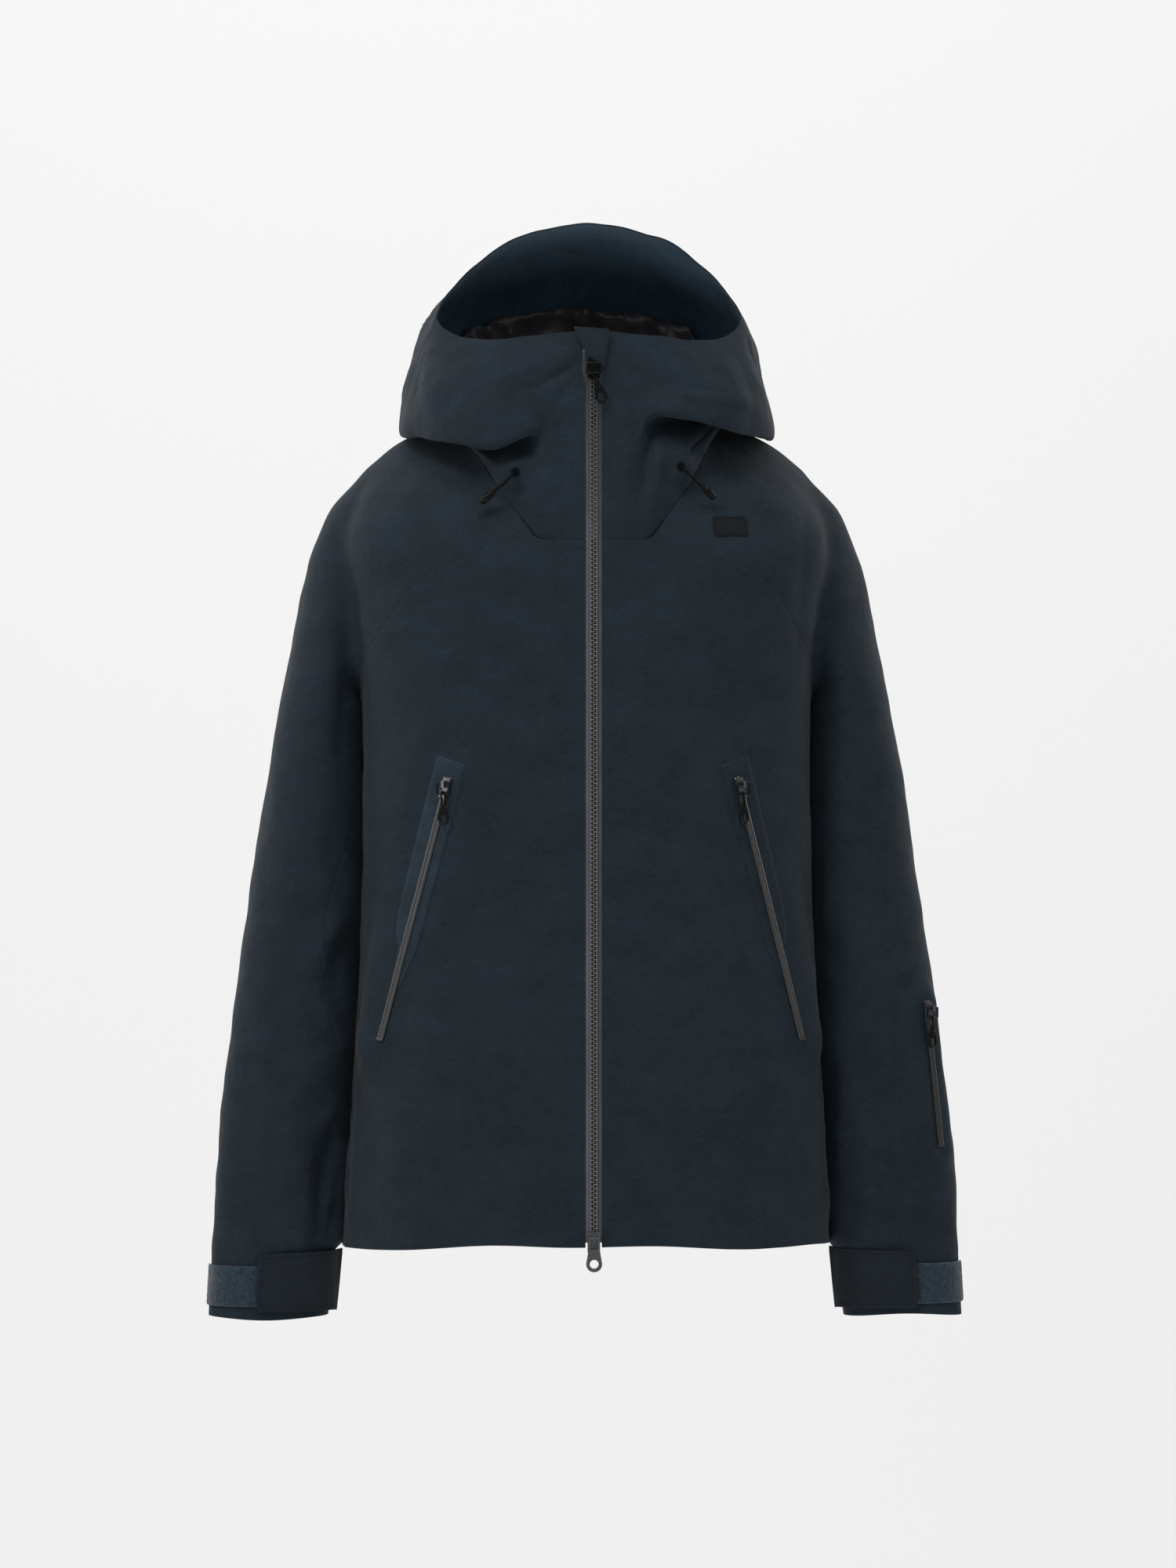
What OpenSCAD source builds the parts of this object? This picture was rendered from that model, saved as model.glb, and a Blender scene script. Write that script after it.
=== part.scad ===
// Hooded ski jacket with its zip closed and its hood up.
// Millimetres, +Z up. The front faces -Y and the wearer's left is +X.
// The origin is where a peg bears inside the hang loop, at the back of the neck.

/* [Body] */
// Half width of the body at the waist
waist_half = 188; // [182:1:192]
// Half width of the body at the hem
hem_half = 204; // [200:1:206]
// Depth of the front, from the middle plane of the body to the zip
front_depth = 128; // [126:1:130]
// Depth of the back, from the middle plane of the body
back_depth = 126; // [120:1:132]
// Drop of the hem below the hang loop at the front
hem_front = 696; // [690:1:700]
// Drop of the hem below the hang loop at the back
hem_back = 712; // [706:1:720]
// Thickness of a sewn fabric panel
cloth = 2.4; // [2:0.1:2.6]
// Depth of the lining behind the outer fabric
lining_depth = 12; // [11:0.5:14]

/* [Sleeves] */
// Drop of the cuff edge below the hang loop
cuff_drop = 762; // [756:1:768]
// Length of a cuff tab along the sleeve
tab_height = 48; // [44:1:50]
// Height of the fuzzy loop patch on the cuff
patch_height = 34; // [28:1:38]

/* [Main zip] */
// Visible width of the coated tape, both halves together
tape_width = 15; // [14:0.5:15]
// Spacing of the teeth on one side
tooth_pitch = 3.6; // [3:0.1:4.2]
// Height of the top end of the teeth
zip_top = 26; // [24:1:28]
// Thickness of the tape
tape_t = 1; // [0.8:0.1:1.2]

/* [Pulls] */
// Width of a wire pull ring
ring_w = 13; // [11:0.5:14]
// Length of a wire pull ring between its two bars
ring_h = 8; // [7:0.5:9]
// Radius of the ring's wire
wire_r = 0.75; // [0.6:0.05:0.8]
// Clearance of a wire in its hole
pin_gap = 0.3; // [0.2:0.05:0.4]
// Length of the cord pull below the ring
pull_drop = 25; // [20:1:28]

/* [Hood cords] */
// Diameter of the hood cord
cord_d = 2.5; // [2:0.1:3]
// Length of a moulded cord end
tip_len = 14; // [12:1:16]

/* [Hidden] */

// Middle plane of the body, measured from the hang loop
mid_y = -88;
// Height of the ring through the armpits, where the shoulders start
bust_z = -158;
// Parameter height of the hem band's seam, 0 at the hem and 1 at bust_z
band_s = 0.205;
// Power of the rounded box that the body's rings follow, as 2 over it
ring_pow = 0.625;
// Gap left between panels that are not on one surface
gap = 0.5;
navy = "#17242f";
dark_navy = "#101a23";
black = "#15171a";
charcoal = "#2b2e31";
teal = "#2a4350";

function mix(a, b, t) = a + (b - a) * t;
function unit(v) = v / norm(v);
function flip(p) = [-p[0], p[1], p[2]];
function steps(a, b, n) = [for (i = [0:n]) mix(a, b, i / n)];
function spline(p, t) =
  let (i = min(floor(t), len(p) - 2), r = t - i,
       a = p[max(i - 1, 0)], b = p[i], c = p[i + 1], d = p[min(i + 2, len(p) - 1)])
  0.5 * (2 * b + (c - a) * r + (2 * a - 5 * b + 4 * c - d) * r * r
         + (3 * b - a - 3 * c + d) * r * r * r);

// ---- sheets: closed solids of a panel, from the surface down by its thickness ----

function normal_at(f, u, v, e = 0.002) =
  unit(cross(f(u + e, v) - f(u - e, v), f(u, v + e) - f(u, v - e)));

function grid_faces(nu, nv, base, turned) = [
  for (j = [0:nv - 2], i = [0:nu - 2])
    let (a = base + j * nu + i, b = a + 1, c = a + nu + 1, d = a + nu)
    each (turned ? [[a, b, c], [a, c, d]] : [[a, c, b], [a, d, c]])
];

function wall_faces(loop, shift) = [
  for (k = [0:len(loop) - 1])
    let (a = loop[k], b = loop[(k + 1) % len(loop)])
    each [[a, b, b + shift], [a, b + shift, a + shift]]
];

// A panel over the lists us and vs, from `top` above the surface to `thick` below that
module sheet(f, us, vs, top = 0, thick = cloth) {
  nu = len(us);
  nv = len(vs);
  upper = [for (v = vs, u = us) f(u, v) + top * normal_at(f, u, v)];
  lower = [for (v = vs, u = us) f(u, v) + (top - thick) * normal_at(f, u, v)];
  rim = concat(
    [for (i = [0:nu - 2]) i],
    [for (j = [0:nv - 2]) j * nu + nu - 1],
    [for (i = [nu - 1:-1:1]) (nv - 1) * nu + i],
    [for (j = [nv - 1:-1:1]) j * nu]);
  polyhedron(concat(upper, lower), concat(
    grid_faces(nu, nv, 0, false),
    grid_faces(nu, nv, nu * nv, true),
    wall_faces(rim, nu * nv)));
}

// Faces that join rings of n points, one ring after another, base is the first point
function band_faces(n, rings, base, turned) = [
  for (j = [0:rings - 2], i = [0:n - 1])
    let (a = base + j * n + i, b = base + j * n + (i + 1) % n, c = b + n, d = a + n)
    each (turned ? [[a, b, c], [a, c, d]] : [[a, c, b], [a, d, c]])
];

function cap_faces(n, base, turned) = [
  turned ? [for (i = [n - 1:-1:0]) base + i] : [for (i = [0:n - 1]) base + i]
];

// A filled solid through closed rings
module filled(rings) {
  n = len(rings[0]);
  polyhedron([for (r = rings) each r], concat(
    band_faces(n, len(rings), 0, false),
    cap_faces(n, 0, false),
    cap_faces(n, n * (len(rings) - 1), true)));
}

// A tube with a wall between outer rings and inner rings
module hollow(outer, inner) {
  n = len(outer[0]);
  m = len(outer);
  polyhedron(concat([for (r = outer) each r], [for (r = inner) each r]), concat(
    band_faces(n, m, 0, false),
    band_faces(n, m, n * m, true),
    [for (i = [0:n - 1]) let (j = (i + 1) % n) each [[i, j, n * m + j], [i, n * m + j, n * m + i]]],
    [for (i = [0:n - 1])
      let (j = (i + 1) % n, e = n * (m - 1))
      each [[e + j, e + i, n * m + e + i], [e + j, n * m + e + i, n * m + e + j]]]));
}

// ---- body surface: q runs 0 front centre, 1 side, 2 back centre; s 0 hem, 1 bust, 2 neck ----

function ease(r) = pow(r, 1.6) / (pow(r, 1.6) + pow(1 - r, 1.6));
function corner_x(r, p = ring_pow) = pow(sin(90 * ease(r)), p);
function corner_y(r, p = ring_pow) = pow(cos(90 * ease(r)), p);

function body_half(z) = lookup(z, [
  [-712, hem_half], [-594, waist_half + 11], [-535, waist_half + 6],
  [-410, waist_half], [-224, waist_half], [bust_z, waist_half + 8]]);

function hem_z(q) = -mix(hem_front, hem_back, (1 - cos(90 * min(abs(q), 2))) / 2);

function body_ring(q, z, out = 0) =
  q <= 1
  ? [(body_half(z) + out) * corner_x(max(q, 0)), -(front_depth + out) * corner_y(max(q, 0)), z]
  : [(body_half(z) + out) * corner_y(min(q, 2) - 1), (back_depth + out) * corner_x(min(q, 2) - 1), z];

// The neck seam, a point every quarter of q from the front to the back
neck_seam = [
  [0, -front_depth, -117], [38, -126, -117], [76, -110, -75], [92, -85, -45], [99, -15, -10],
  [92, 35, -3], [72, 68, 0], [40, 88, 1], [0, 95, 2]
];

function shoulder_curve(a, n, t) =
  let (c1 = [a[0] + 0.27 * (a[0] - n[0]), a[1] + 0.27 * (a[1] - n[1]), mix(a[2], n[2], 0.65)],
       c2 = [mix(n[0], a[0], 0.73), mix(n[1], a[1], 0.73), mix(n[2], a[2], 0.147)],
       r = 1 - t)
  a * r * r * r + c1 * 3 * r * r * t + c2 * 3 * r * t * t + n * t * t * t;

function half_body(q, s, out = 0) =
  s <= 1
  ? body_ring(q, mix(hem_z(q), bust_z, s), out)
  : shoulder_curve(body_ring(q, bust_z, out),
                   spline(neck_seam, 4 * q) + out * [0.6 * sin(90 * q), -0.6 * cos(90 * q), 0.4],
                   s - 1);

// q from 0 to 4 round the whole body, past the back centre the points are mirrored
function body(q, s, out = 0) =
  q < 0 ? flip(half_body(-q, s, out)) : q > 2 ? flip(half_body(4 - q, s, out)) : half_body(q, s, out);

// Where the front panel starts beside the tape
function zip_side(s) =
  s <= 1 ? (tape_width / 2 + gap) / (1.33 * body_half(mix(-hem_front, bust_z, s)))
         : mix((tape_width / 2 + gap) / (1.33 * body_half(bust_z)), 0.056, s - 1);

// Raglan seams, as q at a height s: below the armpit they become the side seam
function front_seam(s) =
  lookup(s, [[0.8, 1], [0.87, 0.93], [0.9, 0.82], [0.936, 0.62], [1, 0.49], [2, 0.35]]);
function back_seam(s) =
  lookup(s, [[0.8, 1], [0.87, 1.07], [0.9, 1.18], [0.936, 1.38], [1, 1.51], [2, 1.65]]);

low_rows = [0.3, 0.4, 0.5, 0.6, 0.7, 0.8, 0.84, 0.87];
top_rows = [0.9, 0.936, 0.965, 1, 1.15, 1.35, 1.55, 1.75, 1.9];
body_rows = concat([band_s], low_rows, top_rows, [2]);
hem_rows = [0, 0.07, 0.14, band_s];

function front_point(u, s) = body(mix(zip_side(s), front_seam(s), u), s);
function back_point(u, s) = body(mix(back_seam(s), 4 - back_seam(s), u), s);
// Share of the shoulder panel's width left open at each raglan seam
seam_gap = 0.003;
function shoulder_point(u, s) = body(mix(front_seam(s), back_seam(s), u), s);

module body_solid(out) {
  filled([for (s = concat(hem_rows, low_rows, top_rows, [2])) [for (q = steps(0, 3.9, 39)) body(q, s, out)]]);
}

// ---- sleeves: horizontal rings, u runs 0 front, 1 outside, 2 back, 3 inside ----

function sleeve_out(z) = lookup(z, [
  [-cuff_drop, 317], [-708, 313], [-640, 311], [-587, 306], [-506, 296], [-409, 282],
  [-335, 271], [-261, 259], [-187, 246], [-150, 238], [-116, 229], [-91, 218], [-69, 202], [-50, 176]]);
function sleeve_in(z) = lookup(z, [
  [-cuff_drop, 214], [-700, 208], [-594, 203], [-535, 198], [-410, 192], [-240, 192],
  [-200, 165], [-150, 140], [-50, 132]]);
function sleeve_deep(z) = lookup(z, [
  [-cuff_drop, 27], [-700, 32], [-640, 40], [-560, 50], [-400, 62], [-240, 68],
  [-150, 66], [-100, 58], [-70, 42], [-50, 18]]);
function sleeve_mid(z) = lookup(z, [[-cuff_drop, -10], [-600, -6], [-450, 5], [-240, 18], [-50, 15]]);

sleeve_rows = [-50, -60, -75, -95, -120, -150, -187, -225, -261, -300, -350, -410, -460, -506,
  -550, -587, -620, -650, -680, -708, -735, -cuff_drop];
// Squareness of the sleeve's rings
sleeve_pow = 0.85;

function sleeve(u, z, out = 0) =
  let (k = floor(u) % 4, r = u - floor(u), a = corner_x(r, sleeve_pow), b = corner_y(r, sleeve_pow),
       x = k == 0 ? a : k == 1 ? b : k == 2 ? -a : -b,
       y = k == 0 ? -b : k == 1 ? a : k == 2 ? b : -a)
  [(sleeve_out(z) + sleeve_in(z)) / 2 + x * ((sleeve_out(z) - sleeve_in(z)) / 2 + out),
   sleeve_mid(z) + y * (sleeve_deep(z) + out), z];

function sleeve_rings(out) = [for (z = sleeve_rows) [for (u = steps(0, 3.8, 19)) sleeve(u, z, out)]];

module sleeve_solid(out) {
  filled([for (k = [len(sleeve_rows) - 1:-1:0]) sleeve_rings(out)[k]]);
}

// ---- hood surface: q runs round as on the body, v from the neck seam 0 to the edge 4 ----

hood_net = [
  [neck_seam[0], [0, -128, -60], [0, -128, -5], [0, -127, 30], [0, -124, 54]],
  [neck_seam[1], [42, -127, -60], [44, -126, -5], [43, -123, 25], [42, -119, 49]],
  [neck_seam[2], [84, -116, -42], [90, -121, -15], [88, -114, 20], [84, -106, 47]],
  [neck_seam[3], [122, -100, -36], [126, -98, -5], [122, -88, 30], [112, -82, 52]],
  [neck_seam[4], [148, -40, -16], [148, -45, 6], [140, -50, 40], [127, -55, 70]],
  [neck_seam[5], [152, 50, -13], [148, 50, 28], [136, 25, 75], [114, -47, 95]],
  [neck_seam[6], [118, 105, -7], [122, 105, 45], [108, 65, 105], [90, -48, 118]],
  [neck_seam[7], [62, 135, -10], [66, 138, 50], [60, 92, 125], [55, -55, 139]],
  [neck_seam[8], [0, 142, -10], [0, 150, 50], [0, 105, 135], [0, -62, 149]]
];

// Columns past the front and back centres are mirrored, so the spline stays level there
wide_net = concat([[for (p = hood_net[1]) flip(p)]], hood_net, [[for (p = hood_net[7]) flip(p)]]);

function half_hood(q, v) = spline([for (col = wide_net) spline(col, v)], 4 * q + 1);
function hood(q, v) = q < 0 ? flip(half_hood(-q, v)) : q > 2 ? flip(half_hood(4 - q, v)) : half_hood(q, v);

// Row where the brim starts, by q
function brim_row(q) = lookup(min(q, 4 - q), [[0.95, 4], [1.15, 3.5]]);
neck_row = 0.06;
hood_rows = [neck_row, 0.4, 0.8, 1.1, 1.5, 2, 2.5, 3, 3.5, 4];
throat_end = 0.44;
centre_start = 1.78;
brim_columns = steps(1.05, 2.95, 19);
side_columns = concat(
  steps(throat_end, 0.95, 6), [for (q = brim_columns) if (q < centre_start) q], [centre_start]);
centre_columns = concat(
  [centre_start], [for (q = brim_columns) if (abs(q - 2) < 2 - centre_start) q], [4 - centre_start]);

function hood_side_point(q, v) = hood(q, mix(neck_row, brim_row(q), (v - neck_row) / (4 - neck_row)));
function brim_point(q, v) = hood(q, mix(brim_row(q), 4, v));

// ---- places ----

module at_body() {
  translate([0, mid_y, 0]) children();
}

module mirrored(side) {
  if (side > 0) children();
  else mirror([1, 0, 0]) children();
}

// A hardware frame at a point, turned about Z so that its front faces outwards
module facing(p, turn) {
  translate(p) rotate([0, 0, turn]) children();
}

// A frame whose Z runs up a slanted zip, with its front turned by `turn` from -Y
module along(top, low, turn) {
  z = unit(top - low);
  face = [sin(turn), -cos(turn), 0];
  y = -unit(face - (face * z) * z);
  x = cross(y, z);
  multmatrix([
    [x[0], y[0], z[0], top[0]],
    [x[1], y[1], z[1], top[1]],
    [x[2], y[2], z[2], top[2]],
    [0, 0, 0, 1]]) children();
}

module bar_x(r, l) {
  rotate([0, 90, 0]) cylinder(r = r, h = l, center = true, $fn = 32);
}

module block(lo, hi) {
  translate(lo) cube(hi - lo);
}

// Ends of the hand pocket zip and of the sleeve pocket zip, on the left side
hand_top = [120, 6 - front_depth, -317];
hand_low = [175, 36 - front_depth, -528];
hand_turn = 30;
arm_top = [284, -44.5, -504];
arm_low = [296, -44, -620];
arm_turn = 39;

// ---- zip hardware: y 0 is the front of the tape, z 0 is the pull's hinge ----

// How far the pull's hinge stands in front of the tape
hinge_out = 6;
ring_bore = wire_r + pin_gap;

module pull_lug(back) {
  difference() {
    block([-1.2, -hinge_out - 1.8, -3], [1.2, back, 2.6]);
    translate([0, -hinge_out, 0]) bar_x(ring_bore, 6);
  }
}

module slider_plates(front_lo, front_hi, half_w, has_back) {
  block([-half_w, front_lo, -12], [half_w, front_hi, 5]);
  for (e = [-1, 1])
    block([e > 0 ? half_w - 1.3 : -half_w, front_hi, -12], [e > 0 ? half_w : 1.3 - half_w, front_hi + 1, 5]);
  if (has_back) {
    block([-half_w, 2.6, -12], [half_w, 3.8, 5]);
    for (e = [-1, 1])
      block([e > 0 ? half_w - 1.3 : -half_w, 1.5, -12], [e > 0 ? half_w : 1.3 - half_w, 2.6, 5]);
  }
}

module pull_ring() {
  side = ring_w / 2 - wire_r;
  translate([0, -hinge_out, 0]) {
    for (z = [0, -ring_h]) translate([0, 0, z]) bar_x(wire_r, 2 * side);
    for (e = [-1, 1]) {
      translate([e * side, 0, -ring_h]) cylinder(r = wire_r, h = ring_h, $fn = 32);
      for (z = [0, -ring_h]) translate([e * side, 0, z]) sphere(r = wire_r, $fn = 32);
    }
  }
}

// A cord eye round the ring's lower bar, its two strands and a moulded loop
module cord_pull() {
  eye_r = ring_bore + 0.9;
  translate([0, -hinge_out, -ring_h]) {
    difference() {
      union() {
        bar_x(eye_r, 2.6);
        block([-1.3, -0.8, -11], [1.3, 0.8, -0.6]);
      }
      bar_x(ring_bore, 6);
    }
    difference() {
      translate([0, 1.2, 0]) rotate([90, 0, 0]) linear_extrude(2.4) difference() {
        hull() {
          translate([0, -10.5]) circle(r = 1.9, $fn = 32);
          translate([0, 4.2 - pull_drop]) circle(r = 4.2, $fn = 32);
        }
        translate([0, 4.6 - pull_drop]) circle(r = 2, $fn = 32);
      }
    }
  }
}

module at_main_zip(z) {
  at_body() translate([0, -front_depth - 0.2, z]) children();
}

// Frames at the rest place of a pocket slider's hinge, upright so that the pull hangs plumb
module at_hand_pull(side) {
  mirrored(side) at_body() facing(hand_top, hand_turn) children();
}
module at_arm_pull() {
  at_body() facing(arm_top, arm_turn) children();
}
module at_hand_zip(side) {
  mirrored(side) at_body() along(hand_top, hand_low, hand_turn) children();
}
module at_arm_zip() {
  at_body() along(arm_top, arm_low, arm_turn) children();
}

// Upper ends of the pulls' hinges
top_hinge_z = zip_top + 0.5;
low_hinge_z = 8 - hem_front;

module main_teeth(side) {
  rows = floor((zip_top + hem_front - 4) / tooth_pitch);
  low = 4 - hem_front;
  start = side > 0 ? 0 : tooth_pitch / 2;
  at_main_zip(0) mirrored(side) translate([0, 2, 0]) rotate([90, 0, 0]) linear_extrude(3.2) {
    translate([1.7, low]) square([1.4, rows * tooth_pitch]);
    for (k = [0:rows - 1])
      translate([-0.9, low + start + k * tooth_pitch]) square([2.8, tooth_pitch * 0.44]);
  }
}

module main_tape(side) {
  at_main_zip(0) mirrored(side) block([3.1, 0, 4 - hem_front], [tape_width / 2, tape_t, zip_top + 2]);
}

module pocket_tape(length) {
  block([-4, 0, -length], [4, tape_t, 6]);
  block([-3, -0.5, -length - 2.5], [3, tape_t, -length]);
}

// ---- soft panels ----

// A body panel, cut clear of the sleeve
module clear_of_sleeve() {
  at_body() resize([0, 0, 0]) difference() {
    children();
    sleeve_solid(gap);
  }
}

module front_body(side) {
  mirrored(side) clear_of_sleeve() sheet(function(u, v) front_point(u, v), steps(0, 1, 9), body_rows);
}
module front_body_right() { color(navy) front_body(-1); }
module front_body_left() { color(navy) front_body(1); }

module back_body() {
  color(navy) at_body() resize([0, 0, 0]) difference() {
    sheet(function(u, v) back_point(u, v), steps(0, 1, 18), body_rows);
    for (side = [-1, 1]) mirrored(side) sleeve_solid(gap);
  }
}

module hem_band(side) {
  mirrored(side) at_body()
    sheet(function(u, v) body(mix(zip_side(v), 1, u), v), steps(0, 1, 9), hem_rows);
}
module hem_band_right() { color(navy) hem_band(-1); }
module hem_band_left() { color(navy) hem_band(1); }
module hem_band_back() {
  color(navy) at_body() sheet(function(u, v) body(mix(1, 3, u), v), steps(0, 1, 18), hem_rows);
}

module shoulder(side) {
  mirrored(side) clear_of_sleeve()
    sheet(function(u, v) shoulder_point(u, v), steps(seam_gap, 1 - seam_gap, 16), concat(top_rows, [1.96]));
}
module shoulder_right() { color(navy) shoulder(-1); }
module shoulder_left() { color(navy) shoulder(1); }

module sleeve_shell(side) {
  rows = [for (k = [len(sleeve_rows) - 1:-1:0]) k];
  mirrored(side) at_body() resize([0, 0, 0]) difference() {
    hollow([for (k = rows) sleeve_rings(0)[k]], [for (k = rows) sleeve_rings(-cloth)[k]]);
    body_solid(gap);
  }
}
module sleeve_right() { color(navy) sleeve_shell(-1); }
module sleeve_left() { color(navy) sleeve_shell(1); }

module throat_panel(side) {
  mirrored(side) at_body() sheet(function(q, v) hood(q, v), steps(0.051, throat_end, 6), hood_rows);
}
module throat_panel_right() { color(navy) throat_panel(-1); }
module throat_panel_left() { color(navy) throat_panel(1); }

module hood_side(side) {
  mirrored(side) at_body() sheet(function(q, v) hood_side_point(q, v), side_columns, hood_rows);
}
module hood_side_right() { color(navy) hood_side(-1); }
module hood_side_left() { color(navy) hood_side(1); }

module hood_centre() {
  color(navy) at_body() sheet(function(q, v) hood_side_point(q, v), centre_columns, hood_rows);
}

module hood_brim() {
  color(dark_navy) at_body() sheet(function(q, v) brim_point(q, v), brim_columns, steps(0, 1, 2));
}

module zip_garage() {
  color(dark_navy) at_main_zip(0) translate([0, -1, 0]) rotate([90, 0, 0]) linear_extrude(1.4)
    polygon([[-17, 54], [-7, 34], [9, 34], [11.5, 54]]);
}

module neck_lining() {
  color(black) at_body()
    sheet(function(u, v) hood(mix(0.8, 3.2, u), v), steps(0, 1, 24), [0.55, 0.8, 1.2, 1.6, 2, 2.4], -5, 1.2);
}

module lined_rings(rows, depth) {
  hollow([for (s = rows) [for (q = steps(0, 3.9, 39)) body(q, s, -depth)]],
         [for (s = rows) [for (q = steps(0, 3.9, 39)) body(q, s, -depth - 1.4)]]);
}

module body_lining() {
  color(black) at_body() resize([0, 0, 0]) difference() {
    lined_rings([0.08, band_s, 0.45, 0.7, 0.85, 1, 1.3, 1.55], lining_depth);
    for (side = [-1, 1]) mirrored(side) sleeve_solid(gap);
  }
}

module powder_skirt() {
  color(black) at_body() lined_rings([0.12, 0.2, 0.27], lining_depth + 6);
}

// A webbing loop: the peg bears on the inside of its top, which is the origin
module hang_loop() {
  color(black) rotate([90, 0, 0]) translate([0, 0, -1]) linear_extrude(2) difference() {
    hull() for (x = [-24, 24], z = [-9, -2]) translate([x, z]) circle(r = 4, $fn = 32);
    hull() for (x = [-24, 24], z = [-7.5, -2]) translate([x, z]) circle(r = 2, $fn = 32);
  }
}

module hand_pocket_bag(side) {
  mirrored(side) at_body()
    sheet(function(u, v) body(mix(0.26, 0.58, u), v), steps(0, 1, 5), [0.26, 0.4, 0.5, 0.6, 0.72], -5, 3);
}
module hand_pocket_bag_right() { color(black) hand_pocket_bag(-1); }
module hand_pocket_bag_left() { color(black) hand_pocket_bag(1); }

// A plain stitched badge, leaning with the shoulder
module chest_emblem() {
  color(black) at_body() facing([114, 8.8 - front_depth, -104], 14) rotate([-17, 0, 0]) rotate([90, 0, 0])
    linear_extrude(0.8) hull() for (x = [-12, 12], z = [-6, 6]) translate([x, z]) circle(r = 3, $fn = 32);
}

// ---- main zip ----

module main_zip_tape_right() { color(charcoal) main_tape(-1); }
module main_zip_tape_left() { color(charcoal) main_tape(1); }
module main_zip_teeth_right() { color(black) main_teeth(-1); }
module main_zip_teeth_left() { color(black) main_teeth(1); }

module top_slider() {
  color(black) at_main_zip(top_hinge_z) {
    slider_plates(-3.4, -1.8, 5, true);
    pull_lug(-3.4);
  }
}
module top_slider_ring() { color(black) at_main_zip(top_hinge_z) pull_ring(); }
module top_cord_pull() { color(black) at_main_zip(top_hinge_z) cord_pull(); }

module bottom_slider() {
  color(black) at_main_zip(low_hinge_z) {
    slider_plates(-3.4, -1.8, 5, true);
    pull_lug(-3.4);
  }
}

// A flat metal pull with a round hole, hanging past the hem
module bottom_slider_pull() {
  color(black) at_main_zip(low_hinge_z) {
    translate([0, -hinge_out, 0]) {
      bar_x(wire_r, 8.6);
      for (e = [-1, 1]) block([e * 3.7 - 0.8, -wire_r, -9], [e * 3.7 + 0.8, wire_r, 0]);
      translate([0, wire_r, 0]) rotate([90, 0, 0]) linear_extrude(2 * wire_r) difference() {
        hull() {
          translate([0, -10]) square([9, 2], center = true);
          translate([0, -21]) circle(r = 6.5, $fn = 48);
        }
        translate([0, -21]) circle(r = 3.6, $fn = 48);
      }
    }
  }
}

// ---- pocket zips ----

module hand_zip(side) { color(charcoal) at_hand_zip(side) pocket_tape(norm(hand_top - hand_low)); }
module hand_slider(side) {
  color(charcoal) {
    at_hand_zip(side) slider_plates(-2.6, -1, 3.2, false);
    at_hand_pull(side) pull_lug(-2.6);
  }
}
module hand_zip_right() { hand_zip(-1); }
module hand_zip_left() { hand_zip(1); }
module hand_slider_right() { hand_slider(-1); }
module hand_slider_left() { hand_slider(1); }
module hand_ring_right() { color(black) at_hand_pull(-1) pull_ring(); }
module hand_ring_left() { color(black) at_hand_pull(1) pull_ring(); }
module hand_cord_pull_right() { color(black) at_hand_pull(-1) cord_pull(); }
module hand_cord_pull_left() { color(black) at_hand_pull(1) cord_pull(); }

module sleeve_zip() { color(charcoal) at_arm_zip() pocket_tape(norm(arm_top - arm_low)); }
module sleeve_slider() {
  color(charcoal) {
    at_arm_zip() slider_plates(-2.6, -1, 3.2, false);
    at_arm_pull() pull_lug(-2.6);
  }
}
module sleeve_ring() { color(black) at_arm_pull() pull_ring(); }
module sleeve_cord_pull() { color(black) at_arm_pull() cord_pull(); }

// ---- cuffs: bands on the sleeve's surface, with -z as their parameter along it ----

tab_low = 6 - cuff_drop;
module cuff_band(side, u0, u1, z0, z1, top, thick) {
  mirrored(side) at_body()
    sheet(function(u, v) sleeve(mix(u0, u1, u), mix(z0, z1, v)), steps(0, 1, 12), steps(0, 1, 2), top, thick);
}
module cuff_tab(side) { cuff_band(side, 3.1, 4.2, tab_low, tab_low + tab_height, 4.4, 1.6); }
module hook_patch(side) { cuff_band(side, 4.06, 4.18, tab_low + 5, tab_low + patch_height, 2.6, 0.9); }
module loop_patch(side) { cuff_band(side, 0.05, 1, tab_low + 4, tab_low + 4 + patch_height, 1.4, 1); }
module cuff_tab_right() { color(navy) cuff_tab(-1); }
module cuff_tab_left() { color(navy) cuff_tab(1); }
module cuff_hook_patch_right() { color(black) hook_patch(-1); }
module cuff_hook_patch_left() { color(black) hook_patch(1); }
module cuff_loop_patch_right() { color(teal) loop_patch(-1); }
module cuff_loop_patch_left() { color(teal) loop_patch(1); }

// ---- hood cords ----

// Where each cord runs from its eyelet to its moulded end, in the body's frame
cord_route_right = [
  [-64, -124.5, -62], [-64.3, -129, -62.4], [-67, -132, -65], [-71, -132.5, -69],
  [-75.5, -129, -73], [-79, -125.8, -75.6], [-82, -124.4, -78.2]
];
cord_route_left = [
  [72, -122.3, -57], [72.3, -126.8, -57.4], [75, -129.8, -60], [79, -130.3, -64],
  [83.5, -127, -68.2], [87, -124.2, -71.2], [90, -122.8, -73.8]
];

function ring_at(c, d, r, n) =
  let (a = unit(cross(d, [0.3, 1, 0.2])), b = cross(d, a))
  [for (k = [0:n - 1]) c + r * (cos(360 * k / n) * a + sin(360 * k / n) * b)];

module cord_tube(route) {
  m = len(route) - 1;
  pts = [for (i = [0:4 * m]) spline(route, i / 4)];
  n = len(pts) - 1;
  filled([for (i = [0:n]) ring_at(pts[i], unit(pts[min(i + 1, n)] - pts[max(i - 1, 0)]), cord_d / 2, 8)]);
}

// Turns +Z onto a direction
module aim(d) {
  rotate([0, acos(d[2] / norm(d)), atan2(d[1], d[0])]) children();
}

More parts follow.
